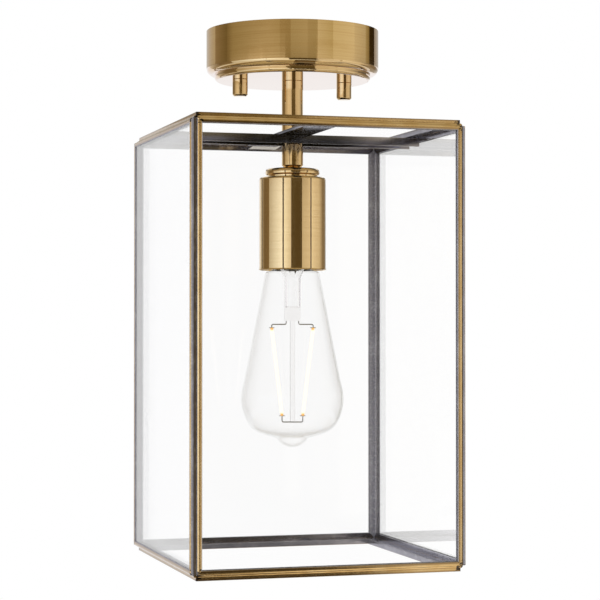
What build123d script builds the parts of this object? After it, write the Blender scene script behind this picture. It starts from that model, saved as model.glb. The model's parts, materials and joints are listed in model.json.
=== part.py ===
from build123d import *
from math import cos, radians, sin
import os

# Flush mount ceiling lantern: an open glass box in brass channel, hung by a short
# stem from a round canopy. The ceiling is the plane z = 0, and the front faces -Y.

os.makedirs("parts", exist_ok=True)

# Driving dimensions in millimetres, degrees for angles

# Glass box: four framed side panels, with an open rim at the top and at the bottom
panel_width = 162.6
panel_height = 263.5
channel_thickness = 3.5
channel_leg = 3.0
channel_wall = 0.7
pane_play = 0.05
pane_edge_gap = 0.3
rim_width = 7.0
mitre_gap = 0.06
seam_radius = 1.5
seam_setback = 0.3

# Spun canopy with a stepped underside
canopy_diameter = 108.0
canopy_side_height = 27.5
canopy_edge_radius = 4.0
canopy_ledge = 5.0
canopy_step_height = 3.5
canopy_step_radius = 2.0
canopy_wall = 0.9

# Ceiling bracket with two hanging studs
bracket_end_gap = 5.1
bracket_width = 24.0
bracket_thickness = 2.0
bracket_corner_radius = 3.0
fixing_spacing = 51.0
fixing_slot_length = 10.0
fixing_slot_width = 4.5
cable_hole_diameter = 12.0
stud_inset = 14.0
stud_diameter = 4.0
stud_engagement = 8.2
thread_play = 0.05
lock_nut_flats = 7.0
lock_nut_height = 3.2
earth_screw_offset = 13.2
earth_screw_diameter = 3.5
earth_head_diameter = 6.8
earth_head_height = 2.2

# Plain cap nuts that hold the canopy up
cap_nut_diameter = 9.6
cap_nut_length = 10.6
cap_nut_chamfer = 1.1
cap_nut_relief = 0.8
canopy_stud_play = 0.3

# Stem: a tube over a hollow threaded rod, clamped by a nut inside the canopy
stem_diameter = 13.5
stem_wall = 1.4
stem_length = 32.4
rod_diameter = 10.0
rod_bore = 6.4
rod_projection = 1.0
stem_nut_flats = 17.0
stem_nut_height = 5.0
stem_washer_diameter = 24.0
stem_washer_thickness = 1.2
coupler_length = 18.9
coupler_chamfer = 1.6

# Cross members at the top of the box
strap_width = 20.0
strap_thickness = 2.0
crossbar_width = 20.0
crossbar_height = 5.4
crossbar_wall = 1.2
crossbar_drop = 0.7

# Terminal block on the canopy floor, with the two wires to the lampholder
block_length = 20.0
block_depth = 17.0
block_height = 18.0
block_offset = 18.0
way_spacing = 10.0
way_depth = 5.0
way_diameter = 3.2
terminal_screw_diameter = 3.0
terminal_screw_play = 0.1
terminal_screw_spacing = 9.0
wire_diameter = 1.8
wire_spacing = 2.2
wire_bend_radius = 4.0
wire_inset = 4.0
wire_offset_radius = 3.0
wire_offset_start = 1.5
wire_offset_rise = 4.5

# Lampholder: a beaded cap and a straight cover round a ceramic body
holder_gap = 0.7
holder_bead_diameter = 34.2
holder_bead_height = 4.2
holder_bead_radius = 2.0
holder_bead_under_radius = 1.3
holder_neck_diameter = 31.4
holder_neck_height = 1.3
holder_cap_wall = 1.0
cover_diameter = 42.0
cover_height = 58.1
cover_wall = 0.8
cover_shoulder_radius = 1.5
cover_lip_flare = 0.5
cover_lip_height = 1.0
holder_nut_flats = 14.0
holder_nut_height = 3.0
body_play = 0.6
body_recess = 1.5
body_top_chamfer = 2.0
body_entry_depth = 6.0
chamber_diameter = 20.0
chamber_height = 12.1
socket_floor = 6.0
socket_diameter = 30.0
rivet_diameter = 2.4
rivet_play = 0.1
rivet_head_diameter = 3.8
rivet_head_height = 1.0
tab_offset = 7.0
contact_diameter = 8.0
contact_thickness = 0.9

# Screw base, shared by the lampholder's shell and the lamp's cap: 27 mm round thread
thread_pitch = 3.63
thread_crest_diameter = 26.2
thread_depth = 0.95
thread_turns = 5
thread_clearance = 0.3
shell_extra_turns = 1
shell_wall = 0.4
shell_flange_thickness = 0.4
shell_flange_hole = 11.0
shell_lead_in = 1.2

# Pear-shaped filament lamp
lamp_turn = -16.0
lamp_length = 140.0
lamp_diameter = 64.0
lamp_contact_gap = 0.2
lamp_contact_diameter = 9.6
lamp_contact_height = 1.5
lamp_pin_diameter = 2.0
insulator_height = 4.0
insulator_foot = 2.0
insulator_top_diameter = 10.8
insulator_play = 0.05
cap_wall = 0.35
cap_plain_height = 1.0
cap_skirt = 2.35
board_drop = 1.5
board_diameter = 21.0
board_thickness = 1.2
capacitor_diameter = 6.0
capacitor_height = 8.0
envelope_wall = 0.8
envelope_neck_play = 0.3
envelope_neck_overlap = 5.0
envelope_shoulder_drop = 4.4
envelope_shoulder_diameter = 34.0
cone_end_rise = 44.5
cone_end_diameter = 59.0
bulge_rise = 29.5
turn_in_rise = 13.3
turn_in_diameter = 53.0
tip_rise = 5.8
tip_diameter = 19.6
mount_flare_play = 0.1
mount_flare_height = 12.0
mount_tube_diameter = 10.0
mount_tube_length = 30.6
mount_wall = 0.9
pinch_width = 10.2
pinch_thickness = 4.4
pinch_height = 8.4
mount_rod_diameter = 3.2
mount_rod_end_rise = 16.0
lead_diameter = 0.7
lead_spacing = 7.8
lead_drop = 2.1
lead_bend_radius = 1.0
filament_diameter = 1.8
filament_top_spacing = 26.0
filament_top_drop = 4.2
filament_bottom_spacing = 13.0
filament_bottom_rise = 3.6
filament_joint_gap = 0.1
support_gap = 0.02

# The step and the bracket follow the canopy, and the studs follow the bracket
canopy_step_diameter = canopy_diameter - 2 * canopy_ledge
bracket_length = canopy_diameter - 2 * (canopy_wall + bracket_end_gap)
stud_spacing = bracket_length - 2 * stud_inset

# Heights down from the ceiling, each worked out from the piece above it
half_panel = panel_width / 2
canopy_floor_z = -(canopy_side_height + canopy_step_height)
canopy_inside_z = canopy_floor_z + canopy_wall
stem_washer_top_z = canopy_inside_z + stem_washer_thickness
stem_nut_top_z = stem_washer_top_z + stem_nut_height
rod_top_z = stem_nut_top_z + rod_projection
strap_top_z = canopy_floor_z - stem_length
strap_bottom_z = strap_top_z - strap_thickness
web_bottom_z = strap_bottom_z - crossbar_wall
panel_top_z = strap_bottom_z + crossbar_drop
panel_bottom_z = panel_top_z - panel_height
panel_middle_z = (panel_top_z + panel_bottom_z) / 2
coupler_bottom_z = web_bottom_z - coupler_length
holder_top_z = coupler_bottom_z - holder_gap
bead_bottom_z = holder_top_z - holder_bead_height
cover_top_z = bead_bottom_z - holder_neck_height
cover_bottom_z = cover_top_z - cover_height
holder_nut_top_z = cover_top_z - cover_wall
body_top_z = holder_nut_top_z - holder_nut_height
body_bottom_z = cover_bottom_z + body_recess
chamber_top_z = body_top_z - body_entry_depth
chamber_bottom_z = chamber_top_z - chamber_height
socket_top_z = chamber_bottom_z - socket_floor
rivet_head_top_z = chamber_bottom_z + rivet_head_height
contact_bottom_z = socket_top_z - contact_thickness
stud_end_z = canopy_floor_z - stud_engagement
block_top_z = canopy_inside_z + block_height
way_z = block_top_z - way_depth

# Heights along the lamp, from its contact at the top to its tip
lamp_top_z = contact_bottom_z - lamp_contact_gap
lamp_tip_z = lamp_top_z - lamp_length
insulator_top_z = lamp_top_z - lamp_contact_height
cap_top_z = insulator_top_z - insulator_height
insulator_bottom_z = cap_top_z - insulator_foot
cap_thread_top_z = cap_top_z - cap_plain_height
cap_thread_bottom_z = cap_thread_top_z - thread_turns * thread_pitch
cap_bottom_z = cap_thread_bottom_z - cap_skirt
board_top_z = insulator_bottom_z - board_drop
neck_top_z = cap_bottom_z + envelope_neck_overlap
shoulder_z = cap_bottom_z - envelope_shoulder_drop
tube_bottom_z = neck_top_z - mount_tube_length
pinch_bottom_z = tube_bottom_z - pinch_height
mount_rod_end_z = lamp_tip_z + mount_rod_end_rise
lead_z = pinch_bottom_z - lead_drop
filament_top_z = pinch_bottom_z - filament_top_drop
filament_bottom_z = mount_rod_end_z + filament_bottom_rise

# Radii that pieces share
rod_hole_radius = rod_diameter / 2 + thread_play
stud_hole_radius = stud_diameter / 2 + thread_play
cover_inner_radius = cover_diameter / 2 - cover_wall
cap_crest_radius = thread_crest_diameter / 2
cap_root_radius = cap_crest_radius - thread_depth
cap_inner_radius = cap_root_radius - cap_wall
shell_crest_radius = cap_crest_radius + thread_clearance
neck_radius = cap_inner_radius - envelope_neck_play

# The filaments spread across this upright plane when the lamp is screwed home
lamp_plane = Plane(
    origin=(0, 0, 0),
    x_dir=(cos(radians(lamp_turn)), sin(radians(lamp_turn)), 0),
    z_dir=(sin(radians(lamp_turn)), -cos(radians(lamp_turn)), 0),
)

# Each side panel is drawn on its inner face, looking in from outside
panel_planes = {
    "front": Plane(origin=(0, -half_panel, panel_middle_z), x_dir=(1, 0, 0), z_dir=(0, -1, 0)),
    "right": Plane(origin=(half_panel, 0, panel_middle_z), x_dir=(0, 1, 0), z_dir=(1, 0, 0)),
    "back": Plane(origin=(0, half_panel, panel_middle_z), x_dir=(-1, 0, 0), z_dir=(0, 1, 0)),
    "left": Plane(origin=(-half_panel, 0, panel_middle_z), x_dir=(0, -1, 0), z_dir=(-1, 0, 0)),
}


def mitred_border(width, height, band):
    """Draw four mitred strips round a rectangle, a hairline apart at the corners."""
    for turn, length, offset in (
        (0, width, height / 2),
        (90, height, width / 2),
        (180, width, height / 2),
        (270, height, width / 2),
    ):
        outer = length / 2 - mitre_gap
        inner = outer - band
        with Locations(Location((0, 0, 0), (0, 0, turn))):
            Polygon(
                (-outer, offset),
                (-inner, offset - band),
                (inner, offset - band),
                (outer, offset),
                align=None,
            )


def outermost_corner(profile, height, reach=0.01):
    """Find the corner of a turned profile that lies furthest out at a height."""
    level = profile.vertices().filter_by_position(Axis.Y, height - reach, height + reach)
    return level.sort_by(Axis.X)[-1]


def thread_wave(start_z, crest, root, turns):
    """Points down a rolled thread, in at the crest and out at the root each turn."""
    points = []
    for turn in range(turns):
        turn_z = start_z - turn * thread_pitch
        points.append((crest, turn_z))
        points.append((root, turn_z - thread_pitch / 2))
    points.append((crest, start_z - turns * thread_pitch))
    return points


def envelope_outline(inset):
    """Draw half the lamp's glass outline, moved in by the inset, closed on the axis."""
    neck_top = (neck_radius - inset, neck_top_z)
    neck_end = (neck_radius - inset, cap_bottom_z)
    shoulder = (envelope_shoulder_diameter / 2 - inset, shoulder_z)
    cone_end = (cone_end_diameter / 2 - inset, lamp_tip_z + cone_end_rise)
    bulge = (lamp_diameter / 2 - inset, lamp_tip_z + bulge_rise)
    turn_in = (turn_in_diameter / 2 - inset * 0.7, lamp_tip_z + turn_in_rise + inset * 0.7)
    tip_edge = (tip_diameter / 2 - inset * 0.5, lamp_tip_z + tip_rise + inset)
    tip = (0, lamp_tip_z + inset)
    cone_slope = (cone_end[0] - shoulder[0], cone_end[1] - shoulder[1])
    Line((0, neck_top_z), neck_top)
    Line(neck_top, neck_end)
    Spline(neck_end, shoulder, tangents=((0, -1), cone_slope))
    Line(shoulder, cone_end)
    Spline(cone_end, bulge, turn_in, tip_edge, tangents=(cone_slope, (-1, -0.3)))
    TangentArc(tip, tip_edge, tangent=(1, 0))
    Line(tip, (0, neck_top_z))


# Ceiling bracket: a flat steel strap with slots for two ceiling screws
with BuildPart() as mounting_bracket:
    with BuildSketch(Plane.XY.offset(-bracket_thickness)):
        RectangleRounded(bracket_length, bracket_width, bracket_corner_radius)
        Circle(cable_hole_diameter / 2, mode=Mode.SUBTRACT)
        with GridLocations(fixing_spacing, 0, 2, 1):
            SlotOverall(fixing_slot_length, fixing_slot_width, mode=Mode.SUBTRACT)
        with GridLocations(stud_spacing, 0, 2, 1):
            Circle(stud_hole_radius, mode=Mode.SUBTRACT)
        with Locations((-earth_screw_offset, 0)):
            Circle(earth_screw_diameter / 2 + thread_play, mode=Mode.SUBTRACT)
    extrude(amount=bracket_thickness)
mounting_bracket.part.label = "mounting_bracket"
export_step(mounting_bracket.part, "parts/mounting_bracket.step")

# Hanging studs, flush with the top of the bracket
with BuildPart() as bracket_studs:
    with BuildSketch(Plane.XY.offset(stud_end_z)):
        with GridLocations(stud_spacing, 0, 2, 1):
            Circle(stud_diameter / 2)
    extrude(amount=-stud_end_z)
    chamfer(bracket_studs.edges().group_by(Axis.Z)[0], stud_diameter / 10)
bracket_studs.part.label = "bracket_studs"
export_step(bracket_studs.part, "parts/bracket_studs.step")

# Nuts that lock the studs under the bracket
with BuildPart() as stud_lock_nuts:
    with BuildSketch(Plane.XY.offset(-bracket_thickness - lock_nut_height)):
        with GridLocations(stud_spacing, 0, 2, 1):
            RegularPolygon(lock_nut_flats / 2, 6, major_radius=False)
            Circle(stud_hole_radius, mode=Mode.SUBTRACT)
    extrude(amount=lock_nut_height)
stud_lock_nuts.part.label = "stud_lock_nuts"
export_step(stud_lock_nuts.part, "parts/stud_lock_nuts.step")

# Earth terminal screw in the bracket
with BuildPart() as earth_screw:
    with BuildSketch(Plane.XY.offset(-bracket_thickness - earth_head_height)):
        with Locations((-earth_screw_offset, 0)):
            Circle(earth_head_diameter / 2)
    extrude(amount=earth_head_height)
    fillet(earth_screw.edges().group_by(Axis.Z)[0], earth_head_height / 3)
    with BuildSketch(Plane.XY.offset(-bracket_thickness)):
        with Locations((-earth_screw_offset, 0)):
            Circle(earth_screw_diameter / 2)
    extrude(amount=bracket_thickness)
    with BuildSketch(Plane.XY.offset(-bracket_thickness - earth_head_height)):
        with Locations((-earth_screw_offset, 0)):
            Rectangle(earth_head_diameter, earth_head_height / 2)
    extrude(amount=earth_head_height / 2, mode=Mode.SUBTRACT)
earth_screw.part.label = "earth_screw"
export_step(earth_screw.part, "parts/earth_screw.step")

# Canopy: a spun cup, open to the ceiling, with a lower step
with BuildPart() as canopy:
    side_radius = canopy_diameter / 2
    step_radius = canopy_step_diameter / 2
    ledge_z = canopy_floor_z + canopy_step_height
    shelf_z = ledge_z + canopy_wall
    with BuildSketch(Plane.XZ) as canopy_profile:
        with BuildLine():
            Polyline(
                (rod_hole_radius, canopy_floor_z),
                (step_radius, canopy_floor_z),
                (step_radius, ledge_z),
                (side_radius, ledge_z),
                (side_radius, 0),
                (side_radius - canopy_wall, 0),
                (side_radius - canopy_wall, shelf_z),
                (step_radius - canopy_wall, shelf_z),
                (step_radius - canopy_wall, canopy_inside_z),
                (rod_hole_radius, canopy_inside_z),
                close=True,
            )
        make_face()
        fillet(outermost_corner(canopy_profile, canopy_floor_z), canopy_step_radius)
        fillet(outermost_corner(canopy_profile, canopy_inside_z), canopy_step_radius - canopy_wall)
        fillet(outermost_corner(canopy_profile, ledge_z), canopy_edge_radius)
        fillet(outermost_corner(canopy_profile, shelf_z), canopy_edge_radius - canopy_wall)
    revolve(axis=Axis.Z)
    with BuildSketch(Plane.XY.offset(canopy_floor_z)):
        with GridLocations(stud_spacing, 0, 2, 1):
            Circle(stud_diameter / 2 + canopy_stud_play)
    extrude(amount=canopy_wall, mode=Mode.SUBTRACT)
canopy.part.label = "canopy"
export_step(canopy.part, "parts/canopy.step")

# Cap nuts: plain turned brass, blind threaded, with a broken lower edge
for side, name in ((-1, "left_canopy_nut"), (1, "right_canopy_nut")):
    with BuildPart() as canopy_nut:
        with BuildSketch(Plane.XY.offset(canopy_floor_z - cap_nut_length)):
            with Locations((side * stud_spacing / 2, 0)):
                Circle(cap_nut_diameter / 2)
        extrude(amount=cap_nut_length)
        chamfer(canopy_nut.edges().group_by(Axis.Z)[0], cap_nut_chamfer)
        with BuildSketch(Plane.XY.offset(stud_end_z - cap_nut_relief)):
            with Locations((side * stud_spacing / 2, 0)):
                Circle(stud_hole_radius)
        extrude(amount=stud_engagement + cap_nut_relief, mode=Mode.SUBTRACT)
    canopy_nut.part.label = name
    export_step(canopy_nut.part, f"parts/{name}.step")

# Hollow threaded rod that ties the canopy, the cross members and the lampholder together
with BuildPart() as threaded_rod:
    with BuildSketch(Plane.XY.offset(chamber_top_z)):
        Circle(rod_diameter / 2)
        Circle(rod_bore / 2, mode=Mode.SUBTRACT)
    extrude(amount=rod_top_z - chamber_top_z)
threaded_rod.part.label = "threaded_rod"
export_step(threaded_rod.part, "parts/threaded_rod.step")

# Washer and nut on the canopy floor
with BuildPart() as stem_washer:
    with BuildSketch(Plane.XY.offset(canopy_inside_z)):
        Circle(stem_washer_diameter / 2)
        Circle(rod_hole_radius, mode=Mode.SUBTRACT)
    extrude(amount=stem_washer_thickness)
stem_washer.part.label = "stem_washer"
export_step(stem_washer.part, "parts/stem_washer.step")

with BuildPart() as stem_nut:
    with BuildSketch(Plane.XY.offset(stem_washer_top_z)):
        RegularPolygon(stem_nut_flats / 2, 6, major_radius=False)
        Circle(rod_hole_radius, mode=Mode.SUBTRACT)
    extrude(amount=stem_nut_height)
stem_nut.part.label = "stem_nut"
export_step(stem_nut.part, "parts/stem_nut.step")

# Stem tube between the canopy and the strap
with BuildPart() as stem_tube:
    with BuildSketch(Plane.XY.offset(strap_top_z)):
        Circle(stem_diameter / 2)
        Circle(stem_diameter / 2 - stem_wall, mode=Mode.SUBTRACT)
    extrude(amount=stem_length)
stem_tube.part.label = "stem_tube"
export_step(stem_tube.part, "parts/stem_tube.step")

# Flat strap from the front rim to the back rim
with BuildPart() as front_back_strap:
    with BuildSketch(Plane.XY.offset(strap_bottom_z)):
        Rectangle(strap_width, panel_width - 2 * rim_width)
        Circle(rod_hole_radius, mode=Mode.SUBTRACT)
    extrude(amount=strap_thickness)
front_back_strap.part.label = "front_back_strap"
export_step(front_back_strap.part, "parts/front_back_strap.step")

# Folded crossbar, a channel open downwards, from the left panel to the right panel
with BuildPart() as crossbar:
    with BuildSketch(Plane.YZ):
        with Locations((0, strap_bottom_z)):
            Rectangle(crossbar_width, crossbar_height, align=(Align.CENTER, Align.MAX))
        with Locations((0, web_bottom_z)):
            Rectangle(
                crossbar_width - 2 * crossbar_wall,
                crossbar_height - crossbar_wall,
                align=(Align.CENTER, Align.MAX),
                mode=Mode.SUBTRACT,
            )
    extrude(amount=half_panel, both=True)
    with BuildSketch(Plane.XY.offset(web_bottom_z)):
        Circle(rod_hole_radius)
    extrude(amount=crossbar_wall, mode=Mode.SUBTRACT)
crossbar.part.label = "crossbar"
export_step(crossbar.part, "parts/crossbar.step")

# Turned coupler that clamps the crossbar from below
with BuildPart() as stem_coupler:
    with BuildSketch(Plane.XY.offset(coupler_bottom_z)):
        Circle(stem_diameter / 2)
    extrude(amount=coupler_length)
    chamfer(stem_coupler.edges().group_by(Axis.Z)[0], coupler_chamfer)
    with BuildSketch(Plane.XY.offset(coupler_bottom_z)):
        Circle(rod_hole_radius)
    extrude(amount=coupler_length, mode=Mode.SUBTRACT)
stem_coupler.part.label = "stem_coupler"
export_step(stem_coupler.part, "parts/stem_coupler.step")

# Terminal block behind the stem, with two ways right through it
with BuildPart() as terminal_block:
    block_middle = block_offset + block_depth / 2
    with BuildSketch(Plane.XY.offset(canopy_inside_z)):
        with Locations((0, block_middle)):
            Rectangle(block_length, block_depth)
    extrude(amount=block_height)
    with BuildSketch(Plane.XZ.offset(-block_offset - block_depth)):
        with Locations((0, way_z)):
            with GridLocations(way_spacing, 0, 2, 1):
                Circle(way_diameter / 2)
    extrude(amount=block_depth, mode=Mode.SUBTRACT)
    with BuildSketch(Plane.XY.offset(way_z)):
        with Locations((0, block_middle)):
            with GridLocations(way_spacing, terminal_screw_spacing, 2, 2):
                Circle(terminal_screw_diameter / 2 + terminal_screw_play)
    extrude(amount=way_depth, mode=Mode.SUBTRACT)
terminal_block.part.label = "terminal_block"
export_step(terminal_block.part, "parts/terminal_block.step")

# Clamp screws, each standing on the wire in its way
with BuildPart() as terminal_screws:
    screw_bottom_z = way_z + wire_diameter / 2
    screw_length = way_depth - wire_diameter
    with BuildSketch(Plane.XY.offset(screw_bottom_z)):
        with Locations((0, block_middle)):
            with GridLocations(way_spacing, terminal_screw_spacing, 2, 2):
                Circle(terminal_screw_diameter / 2)
    extrude(amount=screw_length)
    with BuildSketch(Plane.XY.offset(screw_bottom_z + screw_length)):
        with Locations((0, block_middle)):
            with GridLocations(way_spacing, terminal_screw_spacing, 2, 2):
                Rectangle(terminal_screw_diameter, terminal_screw_diameter / 5)
    extrude(amount=-screw_length / 4, mode=Mode.SUBTRACT)
terminal_screws.part.label = "terminal_screws"
export_step(terminal_screws.part, "parts/terminal_screws.step")

# Live wire: from its way, over the rod's end and straight down to the centre rivet
with BuildPart() as live_wire:
    with BuildLine() as live_route:
        FilletPolyline(
            (-wire_spacing / 2, 0, rivet_head_top_z),
            (-wire_spacing / 2, 0, way_z),
            (-way_spacing / 2, block_offset, way_z),
            (-way_spacing / 2, block_offset + wire_inset, way_z),
            radius=[wire_bend_radius, wire_bend_radius],
        )
    with BuildSketch(Plane(origin=live_route.line @ 0, z_dir=live_route.line % 0)):
        Circle(wire_diameter / 2)
    sweep()
live_wire.part.label = "live_wire"
export_step(live_wire.part, "parts/live_wire.step")

# Neutral wire: the same way down, then out to the shell's rivet
with BuildPart() as neutral_wire:
    offset_z = chamber_top_z - wire_offset_start
    with BuildLine() as neutral_route:
        FilletPolyline(
            (tab_offset, 0, rivet_head_top_z),
            (tab_offset, 0, offset_z - wire_offset_rise),
            (wire_spacing / 2, 0, offset_z),
            (wire_spacing / 2, 0, way_z),
            (way_spacing / 2, block_offset, way_z),
            (way_spacing / 2, block_offset + wire_inset, way_z),
            radius=[wire_offset_radius, wire_offset_radius, wire_bend_radius, wire_bend_radius],
        )
    with BuildSketch(Plane(origin=neutral_route.line @ 0, z_dir=neutral_route.line % 0)):
        Circle(wire_diameter / 2)
    sweep()
neutral_wire.part.label = "neutral_wire"
export_step(neutral_wire.part, "parts/neutral_wire.step")

# Lampholder cap: a pressed cup with a rolled bead at its top
with BuildPart() as lampholder_cap:
    neck_outer = holder_neck_diameter / 2
    neck_inner = neck_outer - holder_cap_wall
    with BuildSketch(Plane.XZ) as holder_cap_profile:
        with BuildLine():
            Polyline(
                (rod_hole_radius, holder_top_z),
                (holder_bead_diameter / 2, holder_top_z),
                (holder_bead_diameter / 2, bead_bottom_z),
                (neck_outer, bead_bottom_z),
                (neck_outer, cover_top_z),
                (neck_inner, cover_top_z),
                (neck_inner, holder_top_z - holder_cap_wall),
                (rod_hole_radius, holder_top_z - holder_cap_wall),
                close=True,
            )
        make_face()
        fillet(outermost_corner(holder_cap_profile, holder_top_z), holder_bead_radius)
        fillet(outermost_corner(holder_cap_profile, bead_bottom_z), holder_bead_under_radius)
    revolve(axis=Axis.Z)
lampholder_cap.part.label = "lampholder_cap"
export_step(lampholder_cap.part, "parts/lampholder_cap.step")

# Lampholder cover: a drawn cup with a soft shoulder and a turned-out lip
with BuildPart() as lampholder_cover:
    cover_radius = cover_diameter / 2
    lip_z = cover_bottom_z + cover_lip_height
    with BuildSketch(Plane.XZ) as cover_profile:
        with BuildLine():
            Polyline(
                (rod_hole_radius, cover_top_z),
                (cover_radius, cover_top_z),
                (cover_radius, lip_z),
                (cover_radius + cover_lip_flare, cover_bottom_z),
                (cover_inner_radius + cover_lip_flare, cover_bottom_z),
                (cover_inner_radius, lip_z),
                (cover_inner_radius, holder_nut_top_z),
                (rod_hole_radius, holder_nut_top_z),
                close=True,
            )
        make_face()
        fillet(outermost_corner(cover_profile, cover_top_z), cover_shoulder_radius)
        fillet(outermost_corner(cover_profile, holder_nut_top_z), cover_shoulder_radius - cover_wall)
    revolve(axis=Axis.Z)
lampholder_cover.part.label = "lampholder_cover"
export_step(lampholder_cover.part, "parts/lampholder_cover.step")

# Nut that clamps the cap and the cover together
with BuildPart() as holder_nut:
    with BuildSketch(Plane.XY.offset(body_top_z)):
        RegularPolygon(holder_nut_flats / 2, 6, major_radius=False)
        Circle(rod_hole_radius, mode=Mode.SUBTRACT)
    extrude(amount=holder_nut_height)
holder_nut.part.label = "holder_nut"
export_step(holder_nut.part, "parts/holder_nut.step")

# Ceramic lampholder body: rod entry, wiring chamber, floor and lamp socket
with BuildPart() as lampholder_body:
    with BuildSketch(Plane.XY.offset(body_bottom_z)):
        Circle(cover_inner_radius - body_play)
    extrude(amount=body_top_z - body_bottom_z)
    chamfer(lampholder_body.edges().group_by(Axis.Z)[-1], body_top_chamfer)
    with BuildSketch(Plane.XY.offset(chamber_top_z)):
        Circle(rod_hole_radius)
    extrude(amount=body_entry_depth, mode=Mode.SUBTRACT)
    with BuildSketch(Plane.XY.offset(chamber_bottom_z)):
        Circle(chamber_diameter / 2)
    extrude(amount=chamber_height, mode=Mode.SUBTRACT)
    with BuildSketch(Plane.XY.offset(body_bottom_z)):
        Circle(socket_diameter / 2)
    extrude(amount=socket_top_z - body_bottom_z, mode=Mode.SUBTRACT)
    with BuildSketch(Plane.XY.offset(socket_top_z)):
        with Locations((0, 0), (tab_offset, 0)):
            Circle(rivet_diameter / 2 + rivet_play)
    extrude(amount=socket_floor, mode=Mode.SUBTRACT)
lampholder_body.part.label = "lampholder_body"
export_step(lampholder_body.part, "parts/lampholder_body.step")

# Centre contact riveted through the socket's floor
with BuildPart() as centre_contact:
    with BuildSketch(Plane.XY.offset(contact_bottom_z)):
        Circle(contact_diameter / 2)
    extrude(amount=contact_thickness)
    with BuildSketch(Plane.XY.offset(socket_top_z)):
        Circle(rivet_diameter / 2)
    extrude(amount=socket_floor)
    with BuildSketch(Plane.XY.offset(chamber_bottom_z)):
        Circle(rivet_head_diameter / 2)
    extrude(amount=rivet_head_height)
centre_contact.part.label = "centre_contact"
export_step(centre_contact.part, "parts/centre_contact.step")

# Rolled screw shell, flanged and riveted to the socket's floor
with BuildPart() as screw_shell:
    flange_z = socket_top_z - shell_flange_thickness
    shell_wave = thread_wave(
        flange_z - shell_lead_in,
        shell_crest_radius,
        shell_crest_radius + thread_depth,
        thread_turns + shell_extra_turns,
    )
    shell_inside = [(shell_flange_hole / 2, flange_z), (shell_crest_radius, flange_z)] + shell_wave
    shell_outside = [(radius + shell_wall, height) for radius, height in reversed(shell_wave)]
    shell_back = [(shell_crest_radius + shell_wall, socket_top_z), (shell_flange_hole / 2, socket_top_z)]
    with BuildSketch(Plane.XZ):
        with BuildLine():
            Polyline(*shell_inside, *shell_outside, *shell_back, close=True)
        make_face()
    revolve(axis=Axis.Z)
    with BuildSketch(Plane.XY.offset(socket_top_z)):
        with Locations((tab_offset, 0)):
            Circle(rivet_diameter / 2)
    extrude(amount=socket_floor)
    with BuildSketch(Plane.XY.offset(chamber_bottom_z)):
        with Locations((tab_offset, 0)):
            Circle(rivet_head_diameter / 2)
    extrude(amount=rivet_head_height)
screw_shell.part.label = "screw_shell"
export_step(screw_shell.part, "parts/screw_shell.step")

# Side panels: a glass pane in four mitred channel strips, on each side of the box
for side, plane in panel_planes.items():
    with BuildPart() as pane_frame:
        with BuildSketch(plane):
            mitred_border(panel_width, panel_height, channel_leg)
        extrude(amount=channel_thickness)
        with BuildSketch(plane.offset(channel_wall)):
            Rectangle(panel_width - 2 * channel_wall, panel_height - 2 * channel_wall)
        extrude(amount=channel_thickness - 2 * channel_wall, mode=Mode.SUBTRACT)
    pane_frame.part.label = f"{side}_pane_frame"
    export_step(pane_frame.part, f"parts/{side}_pane_frame.step")

    pane_inset = channel_wall + pane_edge_gap
    with BuildPart() as pane:
        with BuildSketch(plane.offset(channel_wall + pane_play)):
            Rectangle(panel_width - 2 * pane_inset, panel_height - 2 * pane_inset)
        extrude(amount=channel_thickness - 2 * (channel_wall + pane_play))
    pane.part.label = f"{side}_pane"
    export_step(pane.part, f"parts/{side}_pane.step")

# Open rims of mitred flat bar, on top of the panels and under them
for name, rim_z in (("top_rim", panel_top_z), ("bottom_rim", panel_bottom_z - channel_thickness)):
    with BuildPart() as rim:
        with BuildSketch(Plane.XY.offset(rim_z)):
            mitred_border(panel_width, panel_width, rim_width)
        extrude(amount=channel_thickness)
    rim.part.label = name
    export_step(rim.part, f"parts/{name}.step")

# Solder beads in the notch down each corner of the box
with BuildPart() as corner_seams:
    with BuildSketch(Plane.XY.offset(panel_bottom_z + seam_setback)):
        with GridLocations(panel_width, panel_width, 2, 2):
            Circle(seam_radius)
        Rectangle(panel_width, panel_width + 4 * seam_radius, mode=Mode.SUBTRACT)
        Rectangle(panel_width + 4 * seam_radius, panel_width, mode=Mode.SUBTRACT)
    extrude(amount=panel_height - 2 * seam_setback)
corner_seams.part.label = "corner_seams"
export_step(corner_seams.part, "parts/corner_seams.step")

# Solder beads in the notch along each rim
for name, seam_z, upward in (("top_seams", panel_top_z, 1), ("bottom_seams", panel_bottom_z, -1)):
    with BuildPart() as rim_seams:
        for plane in (Plane.YZ, Plane.XZ):
            with BuildSketch(plane):
                with Locations((0, seam_z)):
                    with GridLocations(panel_width, 0, 2, 1):
                        Circle(seam_radius)
                    Rectangle(panel_width, 4 * seam_radius, mode=Mode.SUBTRACT)
                    with Locations((0, -upward * seam_radius)):
                        Rectangle(panel_width + 4 * seam_radius, 2 * seam_radius, mode=Mode.SUBTRACT)
            extrude(amount=half_panel - seam_setback, both=True)
    rim_seams.part.label = name
    export_step(rim_seams.part, f"parts/{name}.step")

# Lamp contact: a domed button with a pin down to the driver board
with BuildPart() as lamp_contact:
    with BuildSketch(Plane.XY.offset(insulator_top_z)):
        Circle(lamp_contact_diameter / 2)
    extrude(amount=lamp_contact_height)
    fillet(lamp_contact.edges().group_by(Axis.Z)[-1], lamp_contact_height / 2)
    with BuildSketch(Plane.XY.offset(board_top_z)):
        Circle(lamp_pin_diameter / 2)
    extrude(amount=insulator_top_z - board_top_z)
lamp_contact.part.label = "lamp_contact"
export_step(lamp_contact.part, "parts/lamp_contact.step")

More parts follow.
